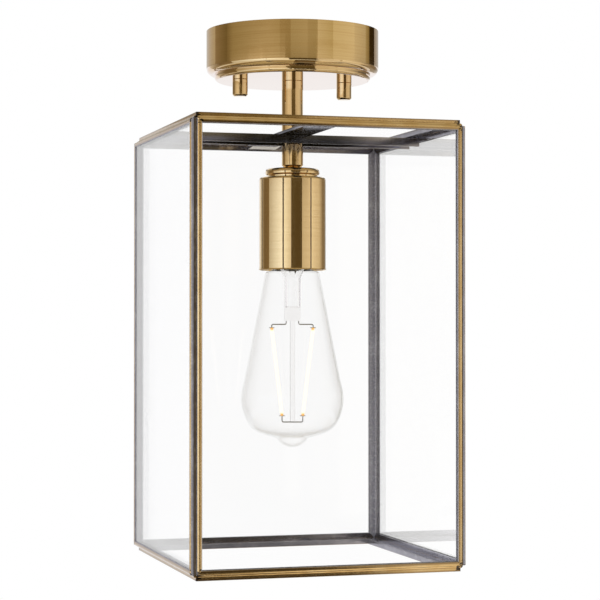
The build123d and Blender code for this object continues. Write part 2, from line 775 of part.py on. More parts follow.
# Black glass insulator between the contact and the cap
with BuildPart() as lamp_insulator:
    pin_hole = lamp_pin_diameter / 2 + insulator_play
    foot_radius = cap_inner_radius - insulator_play
    with BuildSketch(Plane.XZ):
        with BuildLine():
            Polyline(
                (pin_hole, insulator_top_z),
                (insulator_top_diameter / 2, insulator_top_z),
                (foot_radius, cap_top_z),
                (foot_radius, insulator_bottom_z),
                (pin_hole, insulator_bottom_z),
                close=True,
            )
        make_face()
    revolve(axis=Axis.Z)
lamp_insulator.part.label = "lamp_insulator"
export_step(lamp_insulator.part, "parts/lamp_insulator.step")

# Rolled screw cap of the lamp
with BuildPart() as lamp_cap:
    cap_wave = thread_wave(cap_thread_top_z, cap_root_radius, cap_crest_radius, thread_turns)
    cap_outside = [(cap_root_radius, cap_top_z)] + cap_wave + [(cap_root_radius, cap_bottom_z)]
    cap_inside = [(radius - cap_wall, height) for radius, height in reversed(cap_outside)]
    with BuildSketch(Plane.XZ):
        with BuildLine():
            Polyline(*cap_outside, *cap_inside, close=True)
        make_face()
    revolve(axis=Axis.Z)
lamp_cap.part.label = "lamp_cap"
export_step(lamp_cap.part, "parts/lamp_cap.step")

# Driver board inside the cap, with its capacitor
with BuildPart() as lamp_driver:
    with BuildSketch(Plane.XY.offset(board_top_z - board_thickness)):
        Circle(board_diameter / 2)
    extrude(amount=board_thickness)
    with BuildSketch(Plane.XY.offset(board_top_z - board_thickness)):
        with Locations((board_diameter / 5, 0)):
            Circle(capacitor_diameter / 2)
    extrude(amount=-capacitor_height)
lamp_driver.part.label = "lamp_driver"
export_step(lamp_driver.part, "parts/lamp_driver.step")

# Blown glass envelope: a long cone, a full bulge and a sealed tip
with BuildPart() as lamp_envelope:
    with BuildSketch(Plane.XZ):
        with BuildLine():
            envelope_outline(0)
        make_face()
    revolve(axis=Axis.Z)
    with BuildSketch(Plane.XZ):
        with BuildLine():
            envelope_outline(envelope_wall)
        make_face()
    revolve(axis=Axis.Z, mode=Mode.SUBTRACT)
lamp_envelope.part.label = "lamp_envelope"
export_step(lamp_envelope.part, "parts/lamp_envelope.step")

# Glass mount: a flared tube, pinched flat, with a rod down the middle
with BuildPart() as lamp_mount:
    flare_radius = neck_radius - envelope_wall - mount_flare_play
    tube_radius = mount_tube_diameter / 2
    flare_end_z = neck_top_z - mount_flare_height
    with BuildSketch(Plane.XZ):
        with BuildLine():
            Polyline(
                (flare_radius, neck_top_z),
                (tube_radius, flare_end_z),
                (tube_radius, tube_bottom_z),
                (0, tube_bottom_z),
                (0, tube_bottom_z + mount_wall),
                (tube_radius - mount_wall, tube_bottom_z + mount_wall),
                (tube_radius - mount_wall, flare_end_z),
                (flare_radius - mount_wall, neck_top_z),
                close=True,
            )
        make_face()
    revolve(axis=Axis.Z)
    with BuildSketch(Plane.XY.offset(pinch_bottom_z)):
        with Locations(Location((0, 0, 0), (0, 0, lamp_turn))):
            RectangleRounded(pinch_width, pinch_thickness, pinch_thickness / 3)
    extrude(amount=pinch_height)
    with BuildSketch(Plane.XY.offset(mount_rod_end_z)):
        Circle(mount_rod_diameter / 2)
    extrude(amount=pinch_bottom_z - mount_rod_end_z)
lamp_mount.part.label = "lamp_mount"
export_step(lamp_mount.part, "parts/lamp_mount.step")

# Lead wires, out of the pinch and over to the top of each filament
with BuildPart() as lead_wires:
    for side in (-1, 1):
        with BuildLine(lamp_plane) as lead_route:
            FilletPolyline(
                (side * lead_spacing / 2, pinch_bottom_z),
                (side * lead_spacing / 2, lead_z),
                (side * filament_top_spacing / 2, lead_z),
                (side * filament_top_spacing / 2, filament_top_z + filament_joint_gap),
                radius=lead_bend_radius,
            )
        with BuildSketch(Plane(origin=lead_route.line @ 0, z_dir=lead_route.line % 0)):
            Circle(lead_diameter / 2)
        sweep()
lead_wires.part.label = "lead_wires"
export_step(lead_wires.part, "parts/lead_wires.step")

# Filaments: two coated rods that close in towards the bottom
with BuildPart() as filaments:
    for side in (-1, 1):
        with BuildLine(lamp_plane) as filament_route:
            Line(
                (side * filament_top_spacing / 2, filament_top_z),
                (side * filament_bottom_spacing / 2, filament_bottom_z),
            )
        with BuildSketch(Plane(origin=filament_route.line @ 0, z_dir=filament_route.line % 0)):
            Circle(filament_diameter / 2)
        sweep()
filaments.part.label = "filaments"
export_step(filaments.part, "parts/filaments.step")

# Support wire under the rod's end, up to the bottom of each filament
with BuildPart() as filament_support:
    support_z = mount_rod_end_z - lead_diameter / 2 - support_gap
    with BuildLine(lamp_plane) as support_route:
        FilletPolyline(
            (-filament_bottom_spacing / 2, filament_bottom_z - filament_joint_gap),
            (-filament_bottom_spacing / 2, support_z),
            (filament_bottom_spacing / 2, support_z),
            (filament_bottom_spacing / 2, filament_bottom_z - filament_joint_gap),
            radius=lead_bend_radius,
        )
    with BuildSketch(Plane(origin=support_route.line @ 0, z_dir=support_route.line % 0)):
        Circle(lead_diameter / 2)
    sweep()
filament_support.part.label = "filament_support"
export_step(filament_support.part, "parts/filament_support.step")
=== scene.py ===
"""Dress a glass box ceiling lantern in brass, patina and glass, and set its studio stage."""

import json
import math

import bmesh
import bpy
from mathutils import Matrix, Vector, noise

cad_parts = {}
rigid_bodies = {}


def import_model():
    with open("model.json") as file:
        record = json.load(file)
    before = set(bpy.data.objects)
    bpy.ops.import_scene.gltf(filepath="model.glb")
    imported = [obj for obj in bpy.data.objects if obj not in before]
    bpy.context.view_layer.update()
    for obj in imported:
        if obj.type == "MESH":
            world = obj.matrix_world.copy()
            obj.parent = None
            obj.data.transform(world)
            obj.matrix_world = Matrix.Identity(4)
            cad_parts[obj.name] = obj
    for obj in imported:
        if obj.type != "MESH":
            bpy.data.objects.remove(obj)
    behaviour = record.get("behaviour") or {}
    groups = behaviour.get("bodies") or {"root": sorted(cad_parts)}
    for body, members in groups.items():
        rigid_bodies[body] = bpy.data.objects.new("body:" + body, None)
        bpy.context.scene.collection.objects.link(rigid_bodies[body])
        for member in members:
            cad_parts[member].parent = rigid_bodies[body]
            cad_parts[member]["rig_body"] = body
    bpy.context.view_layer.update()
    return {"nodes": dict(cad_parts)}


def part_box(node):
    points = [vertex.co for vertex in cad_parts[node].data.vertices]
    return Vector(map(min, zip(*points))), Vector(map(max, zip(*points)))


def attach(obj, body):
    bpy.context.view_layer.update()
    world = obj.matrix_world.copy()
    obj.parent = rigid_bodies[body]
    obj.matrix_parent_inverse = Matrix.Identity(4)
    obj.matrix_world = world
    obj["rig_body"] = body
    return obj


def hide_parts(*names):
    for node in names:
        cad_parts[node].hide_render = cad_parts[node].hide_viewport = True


bl_info = {
    "name": "Glass box ceiling lantern",
    "version": (1, 0, 0),
    "blender": (4, 5, 0),
    "location": "View3D > Sidebar > Lantern",
    "description": "Dresses the lantern's solids and sets a plain studio round them",
    "category": "Object",
}

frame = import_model()

# Places that the pieces and finishes share, read from the frame in metres
panel_low, panel_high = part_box("front_pane_frame")
panel_half_width = (panel_high.x - panel_low.x) / 2
panel_half_height = (panel_high.z - panel_low.z) / 2
panel_middle = (panel_high.z + panel_low.z) / 2
panel_face = -panel_low.y
top_rim_low, top_rim_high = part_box("top_rim")
rim_bar = top_rim_high.z - top_rim_low.z
rim_face = top_rim_high.x
filament_low, filament_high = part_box("filaments")

MILLIMETRE = 0.001

# Limits for cleaning and shading the meshes
HAIR = 0.01 * MILLIMETRE
WELD_DISTANCE = 0.001 * MILLIMETRE
FLAT_ANGLE = math.radians(0.05)
SHARP_ANGLE = math.radians(28)
SMOOTH_ANGLE = math.radians(50)
SQUARE_RUN = 0.999

# How deep the polish of strips, their folds and the rims runs, and where it has faded into dark film
SKIN, SKIN_END = 0.5 * MILLIMETRE, 0.65 * MILLIMETRE
FOLD, FOLD_END = 0.7 * MILLIMETRE, 1.2 * MILLIMETRE
END_FOLD_END = 0.9 * MILLIMETRE
RIM_SKIN, RIM_SKIN_END = 0.2 * MILLIMETRE, 0.5 * MILLIMETRE
RIM_END_SKIN, RIM_END_SKIN_END = 0.1 * MILLIMETRE, 0.3 * MILLIMETRE
SEAM_FADE = 0.2 * MILLIMETRE

# The values between which most of a cloudy pattern lies
PATTERN_LOW, PATTERN_HIGH = 0.3, 0.7

# A quarter of a full turn, for the direction of brushing
QUARTER_TURN = 0.25

# Where a strip is cut along to give its crown a round, as shares of its width
CROWN_CUTS = (0.3, 0.5, 0.7)

# Start of the noise in the solder seams, so that their lumps are the same each run
LUMP_SEED = 1


def linear(code):
    """Turn an sRGB hex colour into linear red, green, blue and alpha."""
    channels = [int(code[place:place + 2], 16) / 255 for place in (1, 3, 5)]
    return [c / 12.92 if c <= 0.04045 else ((c + 0.055) / 1.055) ** 2.4 for c in channels] + [1.0]


WHITE = linear("#FFFFFF")


def colour_property(label, note, code):
    """Make a colour property with a hex default."""
    return bpy.props.FloatVectorProperty(
        name=label, description=note, default=linear(code), size=4, min=0, max=1, subtype="COLOR"
    )


def length_property(label, note, millimetres):
    """Make a length property with its default in millimetres."""
    return bpy.props.FloatProperty(
        name=label, description=note, default=millimetres * MILLIMETRE, min=0, unit="LENGTH"
    )


def share_property(label, note, share):
    """Make a property for a share from none to all."""
    return bpy.props.FloatProperty(name=label, description=note, default=share, min=0, max=1)


def angle_property(label, note, degrees):
    """Make an angle property with its default in degrees."""
    return bpy.props.FloatProperty(
        name=label, description=note, default=math.radians(degrees), subtype="ANGLE"
    )


class LanternFinish(bpy.types.PropertyGroup):
    """Colours and edge breaks of the lantern's finishes."""

    brass: colour_property("Brass", "Lacquered brass, face on", "#E2C592")
    brass_streak: colour_property("Brass streak", "Darker lines of the brushing", "#DABA85")
    brass_stain: colour_property("Brass stain", "Thin brown film under the lacquer", "#D5B47C")
    strip_brass: colour_property("Strip brass", "Lacquered brass of the channel strips", "#EBCD98")
    tarnish: colour_property("Tarnish", "Brown lines where lacquer has worn off the brass", "#A88A58")
    strip_streak: colour_property("Strip streak", "Darker patches of the channel strips", "#DDBA7E")
    patina: colour_property("Patina", "Chemically darkened metal", "#9E9DA6")
    patina_worn: colour_property("Worn patina", "Where the dark film is rubbed", "#B4B3BB")
    strip_edge: colour_property("Strip edge", "Shine that strip brass keeps at a low angle", "#ADA3A1")
    patina_edge: colour_property("Patina edge", "Shine that patina keeps at a low angle", "#D2D2D8")
    black_patina: colour_property("Black patina", "Darkest film, on the cross members", "#4E4F52")
    black_worn: colour_property("Worn black patina", "Where the darkest film is rubbed", "#66676A")
    stain: colour_property("Stain", "Burnt flux on the brass by the corners", "#3A2C1C")
    solder: colour_property("Solder", "Blackened solder in the corner notches", "#5C5145")
    solder_worn: colour_property("Worn solder", "Where the black is rubbed off", "#7E7462")
    film_metal: share_property("Film metal", "How metallic the dark film is on rims and seams", 0.7)
    level_film: share_property("Level film", "How metallic the film is inside level strips", 0.95)
    upright_film: share_property("Upright film", "How metallic the film is inside upright strips", 0.2)
    upright_haze: share_property("Upright haze", "How much rougher upright strips are than level ones", 0.15)
    strip_width: length_property("Strip width", "Width of a channel strip's outer face", 3.0)
    strip_crown: length_property("Strip crown", "Fall from the middle of a strip to its edges", 0.18)
    folded_edge: length_property("Folded edge", "Rounding along the folded channel", 0.8)
    lip_edge: length_property("Lip edge", "Rounding along the channel's lip beside the glass", 0.4)
    # The dark film and brown line along the lip are partly patina and tarnish, partly painted shade of the
    # gap between the channel and the glass
    lip_patina_and_shade: length_property("Lip film", "Width of the dark film left along a strip beside the glass", 0.9)
    lip_line_and_shade: length_property("Tarnish line", "Width of the brown line along an edge", 1.1)
    rim_tarnish: length_property("Rim tarnish", "Width of the brown line along a rim's outer end", 1.65)
    corner_stain: length_property("Corner stain", "How far stains run from a soldered corner", 11)
    sawn_edge: length_property("Sawn edge", "Rounding along flat bar and plate", 0.3)
    turned_edge: length_property("Turned edge", "Edge break on turned pieces", 0.25)
    cover_edge: length_property("Cover edge", "Edge break on the lampholder cover", 0.75)
    solder_step: length_property("Solder step", "Spacing of the lumps along a solder seam", 2.5)
    solder_lump: length_property("Solder lump", "Height of the lumps along a solder seam", 0.12)
    # The next five settings size the white patch by the strap, which is a painted reflection of the bright
    # open top in the back channel's inner wall
    reflection_patch_length: length_property("Flux length", "Length of the flux crust by the strap", 18.5)
    reflection_patch_aside: length_property("Flux aside", "How far the crust's middle lies right of the strap's", 4.4)
    reflection_patch_reach: length_property("Flux reach", "How far the crust runs under the rim", 5.8)
    reflection_patch_drop: length_property("Flux drop", "How far the crust runs down the channel", 1.9)
    reflection_patch_lean: length_property("Flux lean", "How far the crust slants on its way down", 2.1)
    pin_length: length_property("Pin length", "Length of the pin across a filament's end", 3.4)
    pin_width: length_property("Pin width", "Diameter of the pin across a filament's end", 0.5)


class LanternStudio(bpy.types.PropertyGroup):
    """Camera and stage round the lantern."""

    lens: bpy.props.FloatProperty(
        name="Lens", description="Focal length in millimetres on a 36 mm sensor", default=115.92, min=1
    )
    camera_yaw: angle_property("Camera yaw", "Turn to the right of straight ahead", 16.393)
    camera_pitch: angle_property("Camera pitch", "Tilt upwards", 0.803)
    camera_place: bpy.props.FloatVectorProperty(
        name="Camera place",
        description="Where the camera stands",
        default=(-0.3379, -1.1655, -0.1855),
        subtype="TRANSLATION",
    )
    card_radius: length_property("Card radius", "Distance of the cards from the stem", 2200)
    floor_drop: length_property("Floor drop", "Height of the ceiling over the floor", 1300)
    floor_radius: length_property("Floor radius", "Size of the floor", 4000)
    floor_clear: length_property("Floor clear", "How far from the lantern the floor begins to fade", 1600)
    floor_white: length_property("Floor white", "How far from the lantern the floor has gone white", 3600)
    ambient: share_property("Ambient", "Level of the soft light from all round", 0.6)


def set_inputs(tree, node, inputs):
    """Give inputs of a node, each by place, identifier or name, a fixed value or a socket to link."""
    for key, value in inputs.items():
        socket = next(
            each for place, each in enumerate(node.inputs) if key in (place, each.identifier, each.name)
        )
        if isinstance(value, bpy.types.NodeSocket):
            tree.links.new(value, socket)
        else:
            socket.default_value = value


def add_node(tree, kind, inputs, gives=0, **settings):
    """Add one shader node with its settings and inputs, and give one of its outputs."""
    made = tree.nodes.new(kind)
    for key, value in settings.items():
        setattr(made, key, value)
    set_inputs(tree, made, inputs)
    return made.outputs[gives]


def start_material(name):
    """Start a material: its tree, its shader and its Object coordinates."""
    material = bpy.data.materials.new(name)
    material.use_nodes = True
    tree = material.node_tree
    shader = tree.nodes["Principled BSDF"]
    place = add_node(tree, "ShaderNodeTexCoord", {}, "Object")
    return material, tree, shader, place


def set_surface(tree, surface):
    """Give a material the shader that its surface shows."""
    set_inputs(tree, tree.nodes["Material Output"], {"Surface": surface})


def pattern(tree, place, size, detail=3.0):
    """Make a cloudy pattern whose marks measure size, in millimetres along X, Y and Z."""
    scale = [1 / (length * MILLIMETRE) for length in size]
    stretched = add_node(tree, "ShaderNodeMapping", {"Vector": place, "Scale": scale})
    return add_node(tree, "ShaderNodeTexNoise", {"Vector": stretched, "Scale": 1.0, "Detail": detail})


def finish_share(tree, *edges):
    """Give the share of a finish that lies past all its soft edges.

    An edge is a value, where on it the finish starts, and where the finish is all there.
    """
    share = None
    for value, start, end in edges:
        span = {0: value, 1: start, 2: end}
        part = add_node(tree, "ShaderNodeMapRange", span, interpolation_type="SMOOTHSTEP")
        if share is None:
            share = part
        else:
            share = add_node(tree, "ShaderNodeMath", {0: share, 1: part}, operation="MULTIPLY")
    return share


def two_tones(tree, value, start, end, first, second):
    """Run smoothly from the first tone to the second as a value goes from start to end."""
    part = finish_share(tree, (value, start, end))
    tones = {"Factor_Float": part, "A_Color": first, "B_Color": second}
    return add_node(tree, "ShaderNodeMix", tones, gives=2, data_type="RGBA")


def work_surface(tree, shader, marks, smoothest, roughest, depth):
    """Let a pattern of marks set the roughness, and a relief that is depth millimetres deep."""
    levels = {0: marks, 1: PATTERN_LOW, 2: PATTERN_HIGH, "To Min": smoothest, "To Max": roughest}
    rough = add_node(tree, "ShaderNodeMapRange", levels)
    lumps = {"Height": marks, "Distance": depth * MILLIMETRE, "Strength": 0.4}
    relief = add_node(tree, "ShaderNodeBump", lumps)
    set_inputs(tree, shader, {"Roughness": rough, "Normal": relief})


def lacquer(tree, shader, roughness):
    """Brush clear lacquer over a metal, which whitens it at a low angle."""
    set_inputs(tree, shader, {"Metallic": 1.0, "Coat Weight": 1.0, "Coat Roughness": roughness})


def brush_round(tree, shader, amount):
    """Turn the brushing round the piece's own upright axis, so that highlights spread upright."""
    rings = add_node(tree, "ShaderNodeTangent", {}, direction_type="RADIAL", axis="Z")
    brushing = {"Anisotropic": amount, "Anisotropic Rotation": QUARTER_TURN, "Tangent": rings}
    set_inputs(tree, shader, brushing)


def brushed_brass(finish):
    """Lacquered brass, polished in the lathe: crisp mirror bands sideways, drawn out upright."""
    material, tree, shader, place = start_material("Lathe polished brass")
    # Real polishing rings are some 0.05 mm apart, too fine to show, so they are drawn 0.5 mm apart
    rings = pattern(tree, place, (60, 60, 0.5))
    film = pattern(tree, place, (14, 14, 22))
    tone = two_tones(tree, rings, 0.25, 0.6, finish.brass_streak, finish.brass)
    tone = two_tones(tree, film, 0.5, 0.95, tone, finish.brass_stain)
    set_inputs(tree, shader, {"Base Color": tone})
    work_surface(tree, shader, rings, smoothest=0.05, roughest=0.07, depth=0.0006)
    lacquer(tree, shader, roughness=0.04)
    brush_round(tree, shader, amount=0.8)
    return material


def spun_brass(finish):
    """Spun canopy brass: satin rings round the side, and a mirror polish underneath."""
    material, tree, shader, place = start_material("Spun canopy brass")
    # Real spinning lines are some 0.1 mm fine, too fine to show, so they are drawn 0.7 mm apart
    rings = pattern(tree, place, (70, 70, 0.7))
    film = pattern(tree, place, (24, 24, 9))
    tone = two_tones(tree, rings, 0.25, 0.65, finish.brass_streak, finish.brass)
    tone = two_tones(tree, film, 0.5, 0.9, tone, finish.brass_stain)
    set_inputs(tree, shader, {"Base Color": tone, "Specular Tint": linear("#F5F2FF")})
    work_surface(tree, shader, rings, smoothest=0.05, roughest=0.07, depth=0.0008)
    lacquer(tree, shader, roughness=0.05)
    brush_round(tree, shader, amount=0.8)
    return material


def box_places(tree, place):
    """Place a point on the box.

    Gives its reach from the box's upright middle planes, and how far inside a panel's outline it lies, from
    the outline's side and from its end.
    """
    middle = (0, 0, panel_middle)
    from_middle = add_node(tree, "ShaderNodeVectorMath", {0: place, 1: middle}, operation="SUBTRACT")
    apart = add_node(tree, "ShaderNodeVectorMath", {0: from_middle}, operation="ABSOLUTE")
    across, along, upright = add_node(tree, "ShaderNodeSeparateXYZ", {0: apart}).node.outputs
    reach = add_node(tree, "ShaderNodeMath", {0: across, 1: along}, operation="MAXIMUM")
    aside = add_node(tree, "ShaderNodeMath", {0: across, 1: along}, operation="MINIMUM")
    side_inset = add_node(tree, "ShaderNodeMath", {0: panel_half_width, 1: aside}, operation="SUBTRACT")
    end_inset = add_node(tree, "ShaderNodeMath", {0: panel_half_height, 1: upright}, operation="SUBTRACT")
    return reach, side_inset, end_inset


def corner_stains(tree, place, finish):
    """Mark the dark spots that flux leaves round the soldered corners."""
    _, side_inset, end_inset = box_places(tree, place)
    from_corner = add_node(tree, "ShaderNodeMath", {0: side_inset, 1: end_inset}, operation="MAXIMUM")
    near = finish_share(tree, (from_corner, finish.corner_stain, 0.0))
    spots = pattern(tree, place, (2.5, 2.5, 1.2))
    burnt = add_node(tree, "ShaderNodeMath", {0: near, 1: spots}, operation="MULTIPLY")
    return finish_share(tree, (burnt, 0.38, 0.52))


def patinated_brass(name, finish, polished_places):
    """Brass that is polished outside, tarnishes along its edges and keeps a dark film elsewhere.

    polished_places gives the shares of polish and tarnish at a place, and how metallic its film is.
    """
    material, tree, shader, place = start_material(name)
    polished, tarnished, film_metal = polished_places(tree, place)
    patches = pattern(tree, place, (9, 9, 16))
    fine = pattern(tree, place, (1.6, 1.6, 1.6))
    brass = two_tones(tree, patches, PATTERN_LOW, PATTERN_HIGH, finish.strip_streak, finish.strip_brass)
    brass = two_tones(tree, tarnished, 0.0, 1.0, brass, finish.tarnish)
    brass = two_tones(tree, corner_stains(tree, place, finish), 0.0, 1.0, brass, finish.stain)
    dark = two_tones(tree, patches, 0.45, 0.75, finish.patina, finish.patina_worn)
    looks = {
        "Base Color": two_tones(tree, polished, 0.0, 1.0, dark, brass),
        "Specular Tint": two_tones(tree, polished, 0.0, 1.0, finish.patina_edge, finish.strip_edge),
        "Metallic": add_node(tree, "ShaderNodeMath", {0: polished, 1: film_metal}, operation="MAXIMUM"),
        "Coat Weight": polished,
        "Coat Roughness": 0.06,
    }
    set_inputs(tree, shader, looks)
    work_surface(tree, shader, fine, smoothest=0.09, roughest=0.14, depth=0.001)
    brush_round(tree, shader, amount=0.8)
    return material, tree, shader, place


def level_share(tree, place):
    """Tell level strips, as 1, from upright ones, as 0."""
    _, side_inset, end_inset = box_places(tree, place)
    return add_node(tree, "ShaderNodeMath", {0: side_inset, 1: end_inset}, operation="GREATER_THAN")


def channel_brass(finish):
    """Folded channel, brushed along each strip: upright strips spread light sideways, level ones upright."""
    def outer_wall(tree, place):
        reach, side_inset, end_inset = box_places(tree, place)
        inset = add_node(tree, "ShaderNodeMath", {0: side_inset, 1: end_inset}, operation="MINIMUM")
        level = level_share(tree, place)
        skin = finish_share(tree, (reach, panel_face - SKIN_END, panel_face - SKIN))
        depth_of_fold = (reach, panel_face - FOLD_END, panel_face - FOLD)
        fold = finish_share(tree, depth_of_fold, (end_inset, END_FOLD_END, FOLD))
        outside = add_node(tree, "ShaderNodeMath", {0: skin, 1: fold}, operation="MAXIMUM")
        # Beside the glass the strip turns to dark film, with a brown line before it on level strips: partly
        # patina and tarnish, partly painted shade of the gap by the glass
        clean = finish.strip_width - finish.lip_patina_and_shade
        clear = finish_share(tree, (inset, finish.strip_width, clean))
        lip_tarnish_and_shade = finish_share(tree, (inset, clean - finish.lip_line_and_shade, clean))
        films = {"Value": level, "To Min": finish.upright_film, "To Max": finish.level_film}
        return (
            add_node(tree, "ShaderNodeMath", {0: outside, 1: clear}, operation="MULTIPLY"),
            add_node(tree, "ShaderNodeMath", {0: lip_tarnish_and_shade, 1: level}, operation="MULTIPLY"),
            add_node(tree, "ShaderNodeMapRange", films),
        )

    material, tree, shader, place = patinated_brass("Folded channel brass", finish, outer_wall)
    level = level_share(tree, place)
    hazes = {"Value": level, "To Min": finish.upright_haze, "To Max": 0.0}
    haze = add_node(tree, "ShaderNodeMapRange", hazes)
    worked = shader.inputs["Roughness"].links[0].from_socket
    rough = add_node(tree, "ShaderNodeMath", {0: worked, 1: haze}, operation="ADD")
    turn = add_node(tree, "ShaderNodeMath", {0: level, 1: QUARTER_TURN}, operation="MULTIPLY")
    set_inputs(tree, shader, {"Roughness": rough, "Anisotropic Rotation": turn})
    return material


def rim_brass(finish):
    """Flat bar of the rims, polished outside, over the top and underneath."""
    def outer_faces(tree, place):
        reach, _, end_inset = box_places(tree, place)
        outside = finish_share(tree, (reach, rim_face - RIM_SKIN_END, rim_face - RIM_SKIN))
        ends = finish_share(tree, (end_inset, RIM_END_SKIN_END - rim_bar, RIM_END_SKIN - rim_bar))
        tarnished = finish_share(tree, (end_inset, finish.rim_tarnish - rim_bar, -rim_bar))
        polished = add_node(tree, "ShaderNodeMath", {0: outside, 1: ends}, operation="MAXIMUM")
        return polished, tarnished, finish.film_metal

    return patinated_brass("Rim bar brass", finish, outer_faces)[0]


def seam_brass(finish):
    """Brass-toned solder along the rims: polished with them, a little stained."""
    def outer_skin(tree, place):
        reach, _, _ = box_places(tree, place)
        polished = finish_share(tree, (reach, rim_face - SEAM_FADE, rim_face + SEAM_FADE))
        return polished, 0.0, finish.film_metal

    return patinated_brass("Brass toned solder", finish, outer_skin)[0]


def dark_patina(finish):
    """Cross members of brass darkened almost to black, worn paler towards their ends."""
    material, tree, shader, place = start_material("Dark patina brass")
    patches = pattern(tree, place, (11, 11, 11))
    fine = pattern(tree, place, (0.9, 0.9, 0.9))
    reach, _, _ = box_places(tree, place)
    worn_from = 0.3 * panel_face
    worn_to = 0.7 * panel_face
    tone = two_tones(tree, patches, 0.42, 0.72, finish.black_patina, finish.black_worn)
    tone = two_tones(tree, reach, worn_from, worn_to, tone, finish.patina_worn)
    set_inputs(tree, shader, {"Base Color": tone, "Metallic": 1.0, "Specular Tint": finish.patina_edge})
    work_surface(tree, shader, fine, smoothest=0.1, roughest=0.18, depth=0.003)
    return material


def blackened_solder(finish):
    """Solder blackened with patina: matt and lumpy, rubbed a little paler on its crests."""
    material, tree, shader, place = start_material("Blackened solder")
    lumps = pattern(tree, place, (3, 3, 5))
    tone = two_tones(tree, lumps, 0.45, 0.75, finish.solder, finish.solder_worn)
    set_inputs(tree, shader, {"Base Color": tone, "Metallic": 1.0})
    work_surface(tree, shader, lumps, smoothest=0.42, roughest=0.58, depth=0.08)
    return material


def thin_glass(name, index, gain, loss, edge_start, edge_tint, ripple_depth):
    """Thin clear glass: seen straight through, mirroring more at a low angle, and grey edge on.

    index sets the bare mirroring, which gain stretches and loss then lowers.
    """
    material, tree, shader, place = start_material(name)
    flow = pattern(tree, place, (38, 38, 60), detail=1.0)
    waves = {"Height": flow, "Distance": ripple_depth * MILLIMETRE, "Strength": 0.5}
    ripple = add_node(tree, "ShaderNodeBump", waves)
    mirror = {"Base Color": WHITE, "Metallic": 1.0, "Roughness": 0.0, "Normal": ripple}
    set_inputs(tree, shader, mirror)
    # The far face of a wall mirrors as the near one does, because nothing is bent on the way
    behind = add_node(tree, "ShaderNodeNewGeometry", {}, "Backfacing")
    bend = add_node(tree, "ShaderNodeMix", {"Factor_Float": behind, "A_Float": index, "B_Float": 1 / index})
    bare = add_node(tree, "ShaderNodeFresnel", {"IOR": bend})
    shares = {0: bare, 1: gain, 2: -loss}
    shine = add_node(tree, "ShaderNodeMath", shares, operation="MULTIPLY_ADD", use_clamp=True)
    aslant = add_node(tree, "ShaderNodeLayerWeight", {"Blend": 0.5}, "Facing")
    tint = two_tones(tree, aslant, edge_start, 1.0, WHITE, linear(edge_tint))
    clear = add_node(tree, "ShaderNodeBsdfTransparent", {"Color": tint})
    ways = {0: shine, 1: clear, 2: shader.outputs["BSDF"]}
    set_surface(tree, add_node(tree, "ShaderNodeMixShader", ways))
    return material


def clear_glass(finish):
    """Drawn sheet glass of the panes, with a faint shine."""
    return thin_glass(
        "Drawn sheet glass",
        index=1.55,
        gain=1.6,
        loss=0.064,
        edge_start=0.72,
        edge_tint="#F4F4F8",
        ripple_depth=0.02,
    )


def lamp_glass(finish):
    """Blown glass of the lamp, with thin grey outlines where its wall is seen edge on."""
    return thin_glass(
        "Blown lamp glass",
        index=1.2,
        gain=1.0,
        loss=0.0,
        edge_start=0.84,
        edge_tint="#B4B4B2",
        ripple_depth=0.01,
    )


def pressed_glass(finish):
    """Pressed glass of the lamp's mount: a thick clear rod with dark edges."""
    material, tree, shader, place = start_material("Pressed mount glass")
    flow = pattern(tree, place, (6, 6, 12), detail=1.0)
    set_inputs(tree, shader, {"Base Color": WHITE, "IOR": 1.35, "Transmission Weight": 1.0})
    work_surface(tree, shader, flow, smoothest=0.0, roughest=0.01, depth=0.004)
    depth = add_node(tree, "ShaderNodeVolumeAbsorption", {"Color": linear("#B4A498"), "Density": 26.0})
    set_inputs(tree, tree.nodes["Material Output"], {"Volume": depth})
    # Lamp light and soft light pass it unbent, so that what stands behind it is lit
    paths = add_node(tree, "ShaderNodeLightPath", {}).node.outputs
    lit = {0: paths["Is Shadow Ray"], 1: paths["Is Diffuse Ray"]}
    unbent = add_node(tree, "ShaderNodeMath", lit, operation="MAXIMUM")
    clear = add_node(tree, "ShaderNodeBsdfTransparent", {})
    ways = {0: unbent, 1: shader.outputs["BSDF"], 2: clear}
    set_surface(tree, add_node(tree, "ShaderNodeMixShader", ways))
    return material


def grained(name, first, second, size, rough, metallic=0.0, depth=0.01):
    """Make a material of two close tones in a grain, whose size is in millimetres along X, Y and Z.

    rough holds its least and its greatest roughness, which follow the grain, as a relief of depth does.
    """
    material, tree, shader, place = start_material(name)
    grain = pattern(tree, place, size)
    tone = two_tones(tree, grain, PATTERN_LOW, PATTERN_HIGH, linear(first), linear(second))
    set_inputs(tree, shader, {"Base Color": tone, "Metallic": metallic})
    work_surface(tree, shader, grain, *rough, depth)
    return material


def zinc_plated_steel(finish):
    """Bright zinc on rolled steel: a faint spangle, satin."""
    return grained("Zinc plated steel", "#C4C7CA", "#A9ADB2", (2.2, 2.2, 2.2), (0.26, 0.4), metallic=1.0)


def porcelain(finish):
    """Glazed porcelain: white, with a slightly pitted shine."""
    return grained("Glazed porcelain", "#EFEBE2", "#E6E1D6", (1.5, 1.5, 1.5), (0.12, 0.25))


def contact_brass(finish):
    """Bare stamped brass: yellow, with dull handling marks."""
    return grained(
        "Stamped contact brass", "#D9B869", "#B8954C", (1.2, 1.2, 1.2), (0.25, 0.42), metallic=1.0
    )


def nickel_plate(finish):
    """Nickel plate on rolled brass: warm grey, bright."""
    return grained(
        "Nickel plate", "#CFCBC4", "#B7B2AA", (2.5, 2.5, 0.8), (0.14, 0.26), metallic=1.0, depth=0.004
    )


def solder_tin(finish):
    """Tinned wire and solder: pale grey, a little lumpy."""
    return grained("Tinned solder", "#C9CACB", "#A6A8AA", (0.8, 0.8, 0.8), (0.25, 0.45), metallic=1.0)


